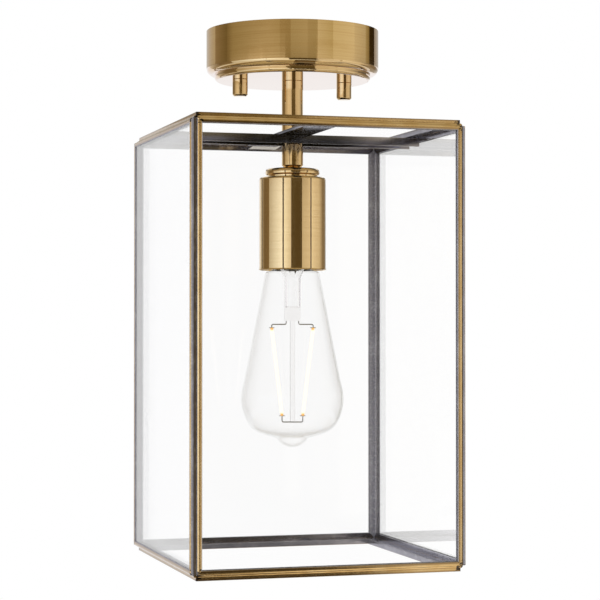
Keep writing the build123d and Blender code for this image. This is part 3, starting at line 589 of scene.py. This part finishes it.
def black_glass(finish):
    """Fired black glass: glossy, with a fine flow in it."""
    return grained("Fired black glass", "#1B1B1E", "#101012", (3, 3, 1), (0.06, 0.16))


def circuit_board(finish):
    """Solder mask over copper: green, with tracks that show as a paler tone."""
    return grained("Solder mask board", "#2F6B45", "#1F5032", (1.4, 4, 4), (0.3, 0.45))


def terminal_nylon(finish):
    """Moulded nylon: milky, with a soft sheen."""
    return grained("Moulded nylon", "#ECEAE2", "#DFDCD2", (0.8, 0.8, 0.8), (0.4, 0.52))


def brown_sleeve(finish):
    """Extruded brown wire sleeve: smooth, with faint lines along it."""
    return grained("Brown wire sleeve", "#5E3A22", "#523019", (0.5, 0.5, 9), (0.3, 0.42))


def blue_sleeve(finish):
    """Extruded blue wire sleeve: smooth, with faint lines along it."""
    return grained("Blue wire sleeve", "#2F62A6", "#275594", (0.5, 0.5, 9), (0.3, 0.42))


def reflection_patch_white(finish):
    """White patch, chalky and matt: a painted reflection of the bright open top, where the back channel's
    polished inner wall mirrors it.
    """
    return grained("White painted reflection patch", "#FAF8F5", "#EFECE7", (1.5, 1.5, 1.5), (0.5, 0.7))


def filament_phosphor(finish):
    """Phosphor over a lit diode strip: warm white, with amber ends where no diode sits."""
    material, tree, shader, place = start_material("Lit filament phosphor")
    height = add_node(tree, "ShaderNodeSeparateXYZ", {0: place}, "Z")
    middle = (filament_low.z + filament_high.z) / 2
    from_middle = add_node(tree, "ShaderNodeMath", {0: height, 1: middle}, operation="SUBTRACT")
    aside = add_node(tree, "ShaderNodeMath", {0: from_middle}, operation="ABSOLUTE")
    unlit_tip = 2.4 * MILLIMETRE
    fade = 1.6 * MILLIMETRE
    lit_end = (filament_high.z - filament_low.z) / 2 - unlit_tip
    dots = pattern(tree, place, (1.2, 1.2, 1.2))
    coating = two_tones(tree, dots, PATTERN_LOW, PATTERN_HIGH, linear("#E8B060"), linear("#F2C679"))
    glow = two_tones(tree, aside, lit_end, lit_end + fade, linear("#FFFAEE"), linear("#A8742E"))
    set_inputs(tree, shader, {"Base Color": coating, "Emission Color": glow, "Emission Strength": 1.0})
    work_surface(tree, shader, dots, smoothest=0.45, roughest=0.55, depth=0.02)
    return material


# The finishes by name, which is the CAD slot's name where a piece keeps its slot's finish. Every maker is
# given the settings, also one that needs none of them
FINISHES = {
    maker.__name__: maker
    for maker in (
        brushed_brass,
        spun_brass,
        channel_brass,
        rim_brass,
        seam_brass,
        dark_patina,
        blackened_solder,
        reflection_patch_white,
        clear_glass,
        lamp_glass,
        pressed_glass,
        zinc_plated_steel,
        porcelain,
        contact_brass,
        nickel_plate,
        solder_tin,
        black_glass,
        circuit_board,
        filament_phosphor,
        terminal_nylon,
        brown_sleeve,
        blue_sleeve,
    )
}
made_finishes = {}


def finish_named(key):
    """Give a finish's material, made once."""
    if key not in made_finishes:
        made_finishes[key] = FINISHES[key](bpy.context.scene.lantern_finish)
    return made_finishes[key]


def node_slot(node):
    """Name the material slot that a CAD node has in the record."""
    return frame["nodes"][node].data.materials[0].name.split(".")[0]


def merged_copy(node):
    """Copy a node's solids into one merged bmesh with plain flat faces."""
    shape = bmesh.new()
    shape.from_mesh(frame["nodes"][node].data)
    bmesh.ops.remove_doubles(shape, verts=shape.verts, dist=WELD_DISTANCE)
    bmesh.ops.dissolve_limit(shape, angle_limit=FLAT_ANGLE, verts=shape.verts, edges=shape.edges)
    return shape


def runs_square(edge):
    """Tell whether an edge runs along X, Y or Z, and so isn't one of a mitre."""
    run = (edge.verts[1].co - edge.verts[0].co).normalized()
    return max(abs(part) for part in run) > SQUARE_RUN


def round_off(shape, edges, width, segments):
    """Round a set of edges."""
    bmesh.ops.bevel(
        shape,
        geom=edges,
        offset=width,
        offset_type="OFFSET",
        segments=segments,
        profile=0.5,
        affect="EDGES",
        clamp_overlap=True,
        material=-1,
    )


def break_edges(shape, width, mitred):
    """Round every sharp edge, but leave the closed joints of mitred strips."""
    sharp = [edge for edge in shape.edges if edge.calc_face_angle(0.0) > SHARP_ANGLE]
    if mitred:
        sharp = [edge for edge in sharp if runs_square(edge)]
    round_off(shape, sharp, width, segments=2)


def add_piece(name, shape, node, finish_key, stands_in=True):
    """Turn a bmesh into a shaded piece that rides with a node's body, and may stand in for the node."""
    mesh = bpy.data.meshes.new(name)
    shape.to_mesh(mesh)
    shape.free()
    # The solids' own shading would override the new one
    for leftover in ("custom_normal", "sharp_face", "sharp_edge"):
        if leftover in mesh.attributes:
            mesh.attributes.remove(mesh.attributes[leftover])
    mesh.shade_smooth()
    mesh.set_sharp_from_angle(angle=SMOOTH_ANGLE)
    mesh.materials.clear()
    mesh.materials.append(finish_named(finish_key))
    piece = bpy.data.objects.new(name, mesh)
    bpy.context.scene.collection.objects.link(piece)
    even = piece.modifiers.new("Even shading", "WEIGHTED_NORMAL")
    even.keep_sharp = True
    shaded = piece.evaluated_get(bpy.context.evaluated_depsgraph_get())
    piece.data = bpy.data.meshes.new_from_object(shaded)
    piece.data.name = name
    piece.modifiers.clear()
    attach(piece, frame["nodes"][node]["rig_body"])
    if stands_in:
        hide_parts(node)
    node_slot(node)


def refine(width, *nodes, finish_key=None, mitred=False):
    """Stand copies with edges rounded by a width in for nodes; with 0, edges stay as they are."""
    for node in nodes:
        shape = merged_copy(node)
        if width:
            break_edges(shape, width, mitred)
        add_piece("finished_" + node, shape, node, finish_key or node_slot(node))


def strip_inset(place, outward):
    """Measure how far a point of a panel lies inside the panel's outline."""
    from_side = panel_half_width - abs(place[1 - outward])
    from_end = panel_half_height - abs(place.z - panel_middle)
    return min(from_side, from_end)


def cut_along(shape, axis, level):
    """Cut a bmesh right across at a level of one axis."""
    normal = Vector((0, 0, 0))
    normal[axis] = 1
    whole = [*shape.verts, *shape.edges, *shape.faces]
    bmesh.ops.bisect_plane(shape, geom=whole, plane_co=level * normal, plane_no=normal)


def crowned_frame(node, outward, finish):
    """Stand a copy in for a panel's channel, its outer face crowned as rolled strip is."""
    shape = merged_copy(node)
    low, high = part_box(node)
    for share in CROWN_CUTS:
        inset = share * finish.strip_width
        for axis in (1 - outward, 2):
            cut_along(shape, axis, low[axis] + inset)
            cut_along(shape, axis, high[axis] - inset)
    outer = [vertex for vertex in shape.verts if abs(vertex.co[outward]) > panel_face - HAIR]
    insets = {vertex: strip_inset(vertex.co, outward) for vertex in outer}
    for vertex, inset in insets.items():
        aside = 2 * inset / finish.strip_width - 1
        vertex.co[outward] -= math.copysign(finish.strip_crown * aside ** 2, vertex.co[outward])
    for inset, width in ((0.0, finish.folded_edge), (finish.strip_width, finish.lip_edge)):
        long_edges = [
            edge
            for edge in shape.edges
            if all(end in insets and abs(insets[end] - inset) < HAIR for end in edge.verts)
        ]
        insets = {vertex: value for vertex, value in insets.items() if abs(value - inset) > HAIR}
        round_off(shape, long_edges, width, segments=3)
    add_piece("finished_" + node, shape, node, node_slot(node))


def add_strap_reflection_patch(finish):
    """Lay a white patch in the corner under the back rim, by the strap: a painted reflection of the bright
    open top in the back channel's inner wall.
    """
    corner = Vector((finish.reflection_patch_aside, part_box("back_pane_frame")[0].y, top_rim_low.z))
    shape = bmesh.new()
    for side in (-1, 1):
        end = corner + Vector((side * finish.reflection_patch_length / 2, 0, 0))
        shape.verts.new(end)
        shape.verts.new(end - Vector((0, finish.reflection_patch_reach, 0)))
        shape.verts.new(end - Vector((finish.reflection_patch_lean, 0, finish.reflection_patch_drop)))
    # The patch is a painted reflection, a white wedge where the inner wall mirrors the bright top
    bmesh.ops.convex_hull(shape, input=shape.verts)
    bmesh.ops.recalc_face_normals(shape, faces=shape.faces)
    add_piece("strap_reflection_patch", shape, "back_pane_frame", "reflection_patch_white", stands_in=False)


def solder_seam(node, finish_key, finish):
    """Stand a copy with a hand-run, lumpy skin in for a solder seam."""
    shape = merged_copy(node)
    low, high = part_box(node)
    step = finish.solder_step
    for axis in range(3):
        for cut in range(1, int((high[axis] - low[axis]) / step)):
            cut_along(shape, axis, low[axis] + cut * step)
    noise.seed_set(LUMP_SEED)
    for vertex in shape.verts:
        vertex.co += finish.solder_lump * noise.noise_vector(vertex.co / (2 * step))
    add_piece("finished_" + node, shape, node, finish_key)


def loose_parts(shape):
    """Split a bmesh's vertices into its separate parts, in the order of their first vertices."""
    taken = set()
    for first in shape.verts:
        if first in taken:
            continue
        part = [first]
        for vertex in part:
            taken.add(vertex)
            joined = (edge.other_vert(vertex) for edge in vertex.link_edges)
            part.extend(other for other in joined if other not in taken and other not in part)
        yield part


def filament_ends(reach):
    """Find the middle of each filament's lower and upper end."""
    rods = merged_copy("filaments")
    ends = []
    for rod in loose_parts(rods):
        for tip in (min, max):
            height = tip(vertex.co.z for vertex in rod)
            cap = [vertex.co for vertex in rod if abs(vertex.co.z - height) < reach]
            ends.append(sum(cap, Vector()) / len(cap))
    rods.free()
    return ends


def add_filament_pins(finish):
    """Weld a short pin across each end of each filament."""
    ends = filament_ends(finish.pin_width)
    across = ends[2] - ends[0]
    across.z = 0
    turn = across.to_track_quat("Z", "Y").to_matrix().to_4x4()
    shape = bmesh.new()
    for end in ends:
        bmesh.ops.create_cone(
            shape,
            cap_ends=True,
            segments=16,
            radius1=finish.pin_width / 2,
            radius2=finish.pin_width / 2,
            depth=finish.pin_length,
            matrix=Matrix.Translation(end) @ turn,
        )
    add_piece("filament_pins", shape, "lead_wires", "solder_tin", stands_in=False)


class LANTERN_OT_canopy(bpy.types.Operator):
    """Finish the canopy and its two cap nuts"""

    bl_idname = "lantern.canopy"
    bl_label = "Canopy"

    def execute(self, context):
        edge = context.scene.lantern_finish.turned_edge
        refine(edge, "canopy", finish_key="spun_brass")
        refine(edge, "left_canopy_nut", "right_canopy_nut")
        return {"FINISHED"}


class LANTERN_OT_stem(bpy.types.Operator):
    """Finish the stem, its coupler, the rod and the clamping nut"""

    bl_idname = "lantern.stem"
    bl_label = "Stem"

    def execute(self, context):
        edge = context.scene.lantern_finish.turned_edge
        refine(edge, "stem_tube", "stem_coupler", "threaded_rod", "stem_washer", "stem_nut")
        return {"FINISHED"}


class LANTERN_OT_cross_members(bpy.types.Operator):
    """Finish the strap and the crossbar at the top of the box"""

    bl_idname = "lantern.cross_members"
    bl_label = "Cross members"

    def execute(self, context):
        finish = context.scene.lantern_finish
        refine(finish.sawn_edge, "front_back_strap", "crossbar")
        add_strap_reflection_patch(finish)
        return {"FINISHED"}


class LANTERN_OT_panels(bpy.types.Operator):
    """Finish the four panels, each a pane in its channel"""

    bl_idname = "lantern.panels"
    bl_label = "Panels"

    def execute(self, context):
        finish = context.scene.lantern_finish
        for side, outward in (("front", 1), ("right", 0), ("back", 1), ("left", 0)):
            crowned_frame(side + "_pane_frame", outward, finish)
            refine(finish.sawn_edge, side + "_pane")
        return {"FINISHED"}


class LANTERN_OT_rims(bpy.types.Operator):
    """Finish the open rims over and under the panels"""

    bl_idname = "lantern.rims"
    bl_label = "Rims"

    def execute(self, context):
        edge = context.scene.lantern_finish.sawn_edge
        refine(edge, "top_rim", "bottom_rim", finish_key="rim_brass", mitred=True)
        return {"FINISHED"}


class LANTERN_OT_seams(bpy.types.Operator):
    """Finish the solder beads in the notches"""

    bl_idname = "lantern.seams"
    bl_label = "Seams"

    def execute(self, context):
        finish = context.scene.lantern_finish
        solder_seam("corner_seams", "blackened_solder", finish)
        for node in ("top_seams", "bottom_seams"):
            solder_seam(node, "seam_brass", finish)
        return {"FINISHED"}


class LANTERN_OT_lampholder(bpy.types.Operator):
    """Finish the lampholder, from its beaded cap to its contacts"""

    bl_idname = "lantern.lampholder"
    bl_label = "Lampholder"

    def execute(self, context):
        finish = context.scene.lantern_finish
        refine(finish.turned_edge, "lampholder_cap", "holder_nut", "lampholder_body")
        refine(finish.cover_edge, "lampholder_cover")
        refine(0, "centre_contact", "screw_shell")
        return {"FINISHED"}


class LANTERN_OT_lamp(bpy.types.Operator):
    """Finish the lamp, from its contact to its filaments"""

    bl_idname = "lantern.lamp"
    bl_label = "Lamp"

    def execute(self, context):
        refine(0, "lamp_contact", "lamp_insulator", "lamp_cap", "lamp_driver", "lamp_envelope", "filaments")
        refine(0, "lead_wires", "filament_support", finish_key="solder_tin")
        refine(0, "lamp_mount", finish_key="pressed_glass")
        add_filament_pins(context.scene.lantern_finish)
        return {"FINISHED"}


class LANTERN_OT_ceiling_fixings(bpy.types.Operator):
    """Finish the bracket, its studs, nuts and earth screw"""

    bl_idname = "lantern.ceiling_fixings"
    bl_label = "Ceiling fixings"

    def execute(self, context):
        edge = context.scene.lantern_finish.turned_edge
        refine(edge, "mounting_bracket", "bracket_studs", "stud_lock_nuts", "earth_screw")
        return {"FINISHED"}


class LANTERN_OT_wiring(bpy.types.Operator):
    """Finish the terminal block, its screws and the two wires"""

    bl_idname = "lantern.wiring"
    bl_label = "Wiring"

    def execute(self, context):
        refine(context.scene.lantern_finish.turned_edge, "terminal_block")
        refine(0, "terminal_screws", "live_wire", "neutral_wire")
        return {"FINISHED"}


def stage_mesh(name, shape, material):
    """Turn a bmesh into a piece of the stage."""
    mesh = bpy.data.meshes.new(name)
    shape.to_mesh(mesh)
    shape.free()
    mesh.materials.append(material)
    thing = bpy.data.objects.new(name, mesh)
    bpy.context.scene.collection.objects.link(thing)
    return thing


def hide_from(thing, *rays):
    """Hide a thing of the stage from some kinds of rays."""
    for kind in rays:
        setattr(thing, "visible_" + kind, False)


# Tiers of cards round the lantern, which show only in its metal and glass: what the bottom rails mirror, the
# box and the lampholder, the top rail, the stem, the canopy and rounded upper edges, and then level tiers.
# Lower and upper edge, or inner and outer, each as a share of the card radius and a height in metres
CARD_TIERS = {
    "low": ((1, -0.95), (1, -0.5)),
    "box": ((1, -0.5), (1, 0.085)),
    "rail": ((1, 0.085), (1, 0.18)),
    "stem": ((1, 0.18), (1, 0.262)),
    "canopy": ((1, 0.262), (1, 0.55)),
    "upper": ((1, 0.55), (1, 1.8)),
    "overhead": ((0.02, 1.8), (1, 1.8)),
    "underneath": ((0.02, -1.2), (0.91, -1.2)),
}

# The cards of each tier: name, first and last bearing in degrees from the camera, first and last tone, level
CARDS = {
    "low": (
        ("left_flag", -142, -87, "#B0A48C", "#8A785A", 1.0),
        ("left_softbox", -87, -4, "#A8A6A0", "#DCDCDC", 1.65),
        ("middle_flag", -4, 34.4, "#4E4638", "#4E4638", 1.0),
        ("right_edge", 34.4, 37, "#4E4638", "#E8DFD0", 1.0),
        ("right_panel", 37, 106, "#E8DFD0", "#E0D6C2", 1.0),
        ("right_flag", 106, 166, "#8F7F66", "#B3AD9F", 1.0),
    ),
    "box": (
        ("left_fade", -142, -112, "#E0DACB", "#7F6D52", 1.0),
        ("left_flag", -112, -87, "#7F6D52", "#8A785A", 1.0),
        ("left_softbox", -87, -34.1, "#A8A6A0", "#E6F0FF", 1.72),
        ("left_joint", -34.1, -32.9, "#B9AD90", "#B9AD90", 1.0),
        ("left_panel", -32.9, -3.9, "#F0F8FF", "#C4BEB5", 1.6),
        ("middle_flag", -3.9, 33.4, "#5F5236", "#5A4C30", 1.0),
        ("right_panel", 33.4, 65.5, "#E1D8C8", "#FAF3E6", 1.0),
        ("right_joint", 65.5, 69, "#D2C7AE", "#D2C7AE", 1.0),
        ("right_softbox", 69, 106, "#FFFBF0", "#E0D6C2", 1.05),
        ("right_fade", 106, 128, "#E0D6C2", "#8F7F66", 1.05),
        ("right_flag", 128, 148, "#8F7F66", "#8F7F66", 1.0),
        ("right_rear", 148, 166, "#8F887A", "#D6D2C9", 1.0),
    ),
    "rail": (
        ("left_fade", -142, -112, "#E0DACB", "#7F6D52", 1.0),
        ("left_flag", -112, -87, "#7F6D52", "#8A785A", 1.0),
        ("left_softbox", -87, -6, "#AD9E81", "#F2E6D4", 1.1),
        ("middle_flag", -6, 37.6, "#5F5030", "#66573A", 1.0),
        ("right_panel", 37.6, 56, "#8F8062", "#B4A78E", 1.0),
        ("right_softbox", 56, 106, "#E5D7C2", "#E0D6C2", 1.0),
        ("right_flag", 106, 148, "#8F7F66", "#8F7F66", 1.0),
    ),
    "stem": (
        ("left_fade", -150, -118, "#B3AA9B", "#7C6F59", 1.0),
        ("left_flag", -118, -90, "#7A6A50", "#7A6A50", 1.0),
        ("left_softbox", -90, -40, "#AD9E81", "#FFF3E2", 1.0),
        ("left_panel", -40, -9, "#FBEEDC", "#E7DFD4", 1.0),
        ("middle_flag", -9, 32, "#66573A", "#66573A", 1.0),
        ("right_softbox", 32, 82, "#E5D7C2", "#E7DFCE", 1.0),
        ("right_fade", 82, 112, "#E2D8C8", "#958E84", 1.0),
        ("right_flag", 112, 140, "#7C766C", "#7C766C", 1.0),
    ),
    "canopy": (
        ("left_rear", -180, -124, "#D0CCC4", "#C0B498", 1.0),
        ("left_flag", -124, -96, "#9A8868", "#796945", 1.0),
        ("left_edge", -96, -84, "#857450", "#A1926D", 1.0),
        ("left_panel", -84, -30, "#A1926D", "#BCAD8C", 1.0),
        ("front_panel", -30, -16, "#BCAD8C", "#B6A782", 1.0),
        ("front_joint", -16, -2, "#AA9973", "#AA9973", 1.0),
        ("middle_panel", -2, 20, "#B9AC8A", "#C2B595", 1.0),
        ("middle_joint", 20, 33.4, "#B8AA88", "#B6A984", 1.0),
        ("right_panel", 33.4, 55, "#D9CFB4", "#CABD95", 1.0),
        ("right_softbox", 55, 90, "#DDD3B4", "#E7DDC2", 1.0),
        ("right_edge", 90, 114, "#DCD2B8", "#C8BDA0", 1.0),
        ("right_fade", 114, 124, "#B8AA82", "#8A7648", 1.0),
        ("right_flag", 124, 141, "#3A2C12", "#332710", 1.0),
        ("right_rear", 141, 180, "#A39C8E", "#D8D4CC", 1.0),
    ),
    "upper": (
        ("left", -140, 0, "#B5AA90", "#A3946F", 1.0),
        ("right", 0, 140, "#A3946F", "#B5AA90", 1.0),
    ),
    "overhead": (
        ("left", -180, 0, "#BFB59C", "#BFB59C", 1.0),
        ("right", 0, 180, "#BFB59C", "#BFB59C", 1.0),
    ),
    "underneath": (
        ("left", -140, 4, "#AC9D7B", "#CEC09E", 1.0),
        ("flag", 4, 36, "#5E4F34", "#5E4F34", 1.0),
        ("edge", 36, 44, "#5E4F34", "#FFF4DF", 1.0),
        ("right", 44, 140, "#FFF4DF", "#B4A688", 1.0),
        ("rear", 140, 220, "#9C8C6C", "#9C8C6C", 1.0),
    ),
}
CARD_STEPS = 24


def card_glow():
    """Make the material of the cards, which glow in the tones that their corners hold."""
    material = bpy.data.materials.new("Card glow")
    material.use_nodes = True
    tree = material.node_tree
    tree.nodes.remove(tree.nodes["Principled BSDF"])
    tone = add_node(tree, "ShaderNodeAttribute", {}, attribute_name="tone")
    set_surface(tree, add_node(tree, "ShaderNodeEmission", {"Color": tone, "Strength": 1.0}))
    return material


def add_card(name, tier, studio, material, first, last, tones):
    """Spin a card round the stem from its first to its last bearing, shaded from one tone to the other."""
    shape = bmesh.new()
    tone = shape.verts.layers.float_color.new("tone")
    start = math.radians(first - 90) - studio.camera_yaw
    sweep = math.radians(last - first)
    outward = Vector((math.cos(start), math.sin(start), 0))
    ends = [
        shape.verts.new(share * studio.card_radius * outward + Vector((0, 0, height)))
        for share, height in CARD_TIERS[tier]
    ]
    edge = shape.edges.new(ends)
    bmesh.ops.spin(
        shape, geom=[*ends, edge], cent=(0, 0, 0), axis=(0, 0, 1), angle=sweep, steps=CARD_STEPS
    )
    for vertex in shape.verts:
        turned = outward.xy.angle_signed(vertex.co.xy)
        vertex[tone] = tones[0].lerp(tones[1], abs(turned) / sweep)
    card = stage_mesh(tier + "_" + name, shape, material)
    hide_from(card, "camera", "diffuse", "transmission", "volume_scatter", "shadow")


def add_cards(studio):
    """Stand the cards of every tier on a ring round the stem, or lay them level."""
    material = card_glow()
    for tier, cards in CARDS.items():
        for name, first, last, first_code, last_code, level in cards:
            tones = [Vector(linear(code)) * level for code in (first_code, last_code)]
            add_card(name, tier, studio, material, first, last, tones)


def add_floor(studio):
    """Lay a pale floor far below, which keeps the lantern's shadow and fades into the white."""
    material, tree, shader, place = start_material("Pale studio floor")
    speck = pattern(tree, place, (3, 3, 3))
    tone = two_tones(tree, speck, PATTERN_LOW, PATTERN_HIGH, linear("#F1EFEB"), linear("#E9E6E1"))
    set_inputs(tree, shader, {"Base Color": tone, "Roughness": 0.9})
    distance = add_node(tree, "ShaderNodeVectorMath", {0: place}, "Value", operation="LENGTH")
    fade = {"Value": distance, "From Min": studio.floor_clear, "From Max": studio.floor_white}
    far = add_node(tree, "ShaderNodeMapRange", fade)
    white = add_node(tree, "ShaderNodeEmission", {"Color": WHITE, "Strength": 1.0})
    grounds = {0: far, 1: shader.outputs["BSDF"], 2: white}
    set_surface(tree, add_node(tree, "ShaderNodeMixShader", grounds))
    shape = bmesh.new()
    below = Matrix.Translation((0, 0, -studio.floor_drop))
    bmesh.ops.create_circle(shape, cap_ends=True, segments=96, radius=studio.floor_radius, matrix=below)
    stage_mesh("studio_floor", shape, material)


# The soft lamps: name, place and size in metres, power in watts, and the point that they face
SOFT_LAMPS = (
    ("left_soft_lamp", (-1.6, -1.2, 0.9), 1.2, 14.0),
    ("right_soft_lamp", (1.5, -1.0, 0.5), 1.0, 7.0),
)
LIT_POINT = Vector((0, 0, -0.2))


def add_lamps():
    """Hang two soft lamps, the larger on the left."""
    for name, place, size, power in SOFT_LAMPS:
        data = bpy.data.lights.new(name, "AREA")
        data.size = size
        data.energy = power
        lamp = bpy.data.objects.new(name, data)
        lamp.location = place
        lamp.rotation_euler = (LIT_POINT - lamp.location).to_track_quat("-Z", "Y").to_euler()
        hide_from(lamp, "glossy", "camera", "transmission")
        bpy.context.scene.collection.objects.link(lamp)


def set_world(studio):
    """White for the eye, metal and glass, and a soft level of light for the rest."""
    world = bpy.data.worlds.new("White studio")
    world.use_nodes = True
    tree = world.node_tree
    paths = add_node(tree, "ShaderNodeLightPath", {}).node.outputs
    shown = {0: paths["Is Glossy Ray"], 1: paths["Is Transmission Ray"]}
    mirrored = add_node(tree, "ShaderNodeMath", shown, operation="MAXIMUM")
    seen = add_node(tree, "ShaderNodeMath", {0: paths["Is Camera Ray"], 1: mirrored}, operation="MAXIMUM")
    level = add_node(tree, "ShaderNodeMapRange", {"Value": seen, "To Min": studio.ambient})
    set_inputs(tree, tree.nodes["Background"], {"Color": WHITE, "Strength": level})
    bpy.context.scene.world = world


def add_camera(studio):
    """Stand the camera where the photograph was taken from."""
    data = bpy.data.cameras.new("studio_camera")
    data.lens = studio.lens
    data.sensor_width = 36.0
    data.clip_start = 0.01
    camera = bpy.data.objects.new("studio_camera", data)
    camera.location = studio.camera_place
    camera.rotation_euler = (math.pi / 2 + studio.camera_pitch, 0, -studio.camera_yaw)
    bpy.context.scene.collection.objects.link(camera)
    bpy.context.scene.camera = camera


class LANTERN_OT_stage(bpy.types.Operator):
    """Set the floor, the cards, the lamps, the world and the camera"""

    bl_idname = "lantern.stage"
    bl_label = "Stage"

    def execute(self, context):
        studio = context.scene.lantern_studio
        add_floor(studio)
        add_cards(studio)
        add_lamps()
        set_world(studio)
        add_camera(studio)
        context.scene.view_settings.view_transform = "Standard"
        return {"FINISHED"}


OPERATORS = (
    LANTERN_OT_canopy,
    LANTERN_OT_stem,
    LANTERN_OT_cross_members,
    LANTERN_OT_panels,
    LANTERN_OT_rims,
    LANTERN_OT_seams,
    LANTERN_OT_lampholder,
    LANTERN_OT_lamp,
    LANTERN_OT_ceiling_fixings,
    LANTERN_OT_wiring,
    LANTERN_OT_stage,
)


class LANTERN_PT_panel(bpy.types.Panel):
    """List the lantern's pieces and settings in the sidebar"""

    bl_idname = "LANTERN_PT_panel"
    bl_label = "Lantern"
    bl_space_type = "VIEW_3D"
    bl_region_type = "UI"
    bl_category = "Lantern"

    def draw(self, context):
        for group in (context.scene.lantern_finish, context.scene.lantern_studio):
            for name in group.bl_rna.properties.keys():
                if name not in ("rna_type", "name"):
                    self.layout.prop(group, name)
        for operator in OPERATORS:
            self.layout.operator(operator.bl_idname)


CLASSES = (LanternFinish, LanternStudio, *OPERATORS, LANTERN_PT_panel)


def register():
    for each in CLASSES:
        bpy.utils.register_class(each)
    bpy.types.Scene.lantern_finish = bpy.props.PointerProperty(type=LanternFinish)
    bpy.types.Scene.lantern_studio = bpy.props.PointerProperty(type=LanternStudio)


def unregister():
    del bpy.types.Scene.lantern_studio
    del bpy.types.Scene.lantern_finish
    for each in reversed(CLASSES):
        bpy.utils.unregister_class(each)


def main():
    """Dress the lantern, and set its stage."""
    register()
    for operator in OPERATORS:
        getattr(bpy.ops.lantern, operator.bl_idname.split(".")[1])()


if __name__ == "__main__":
    main()
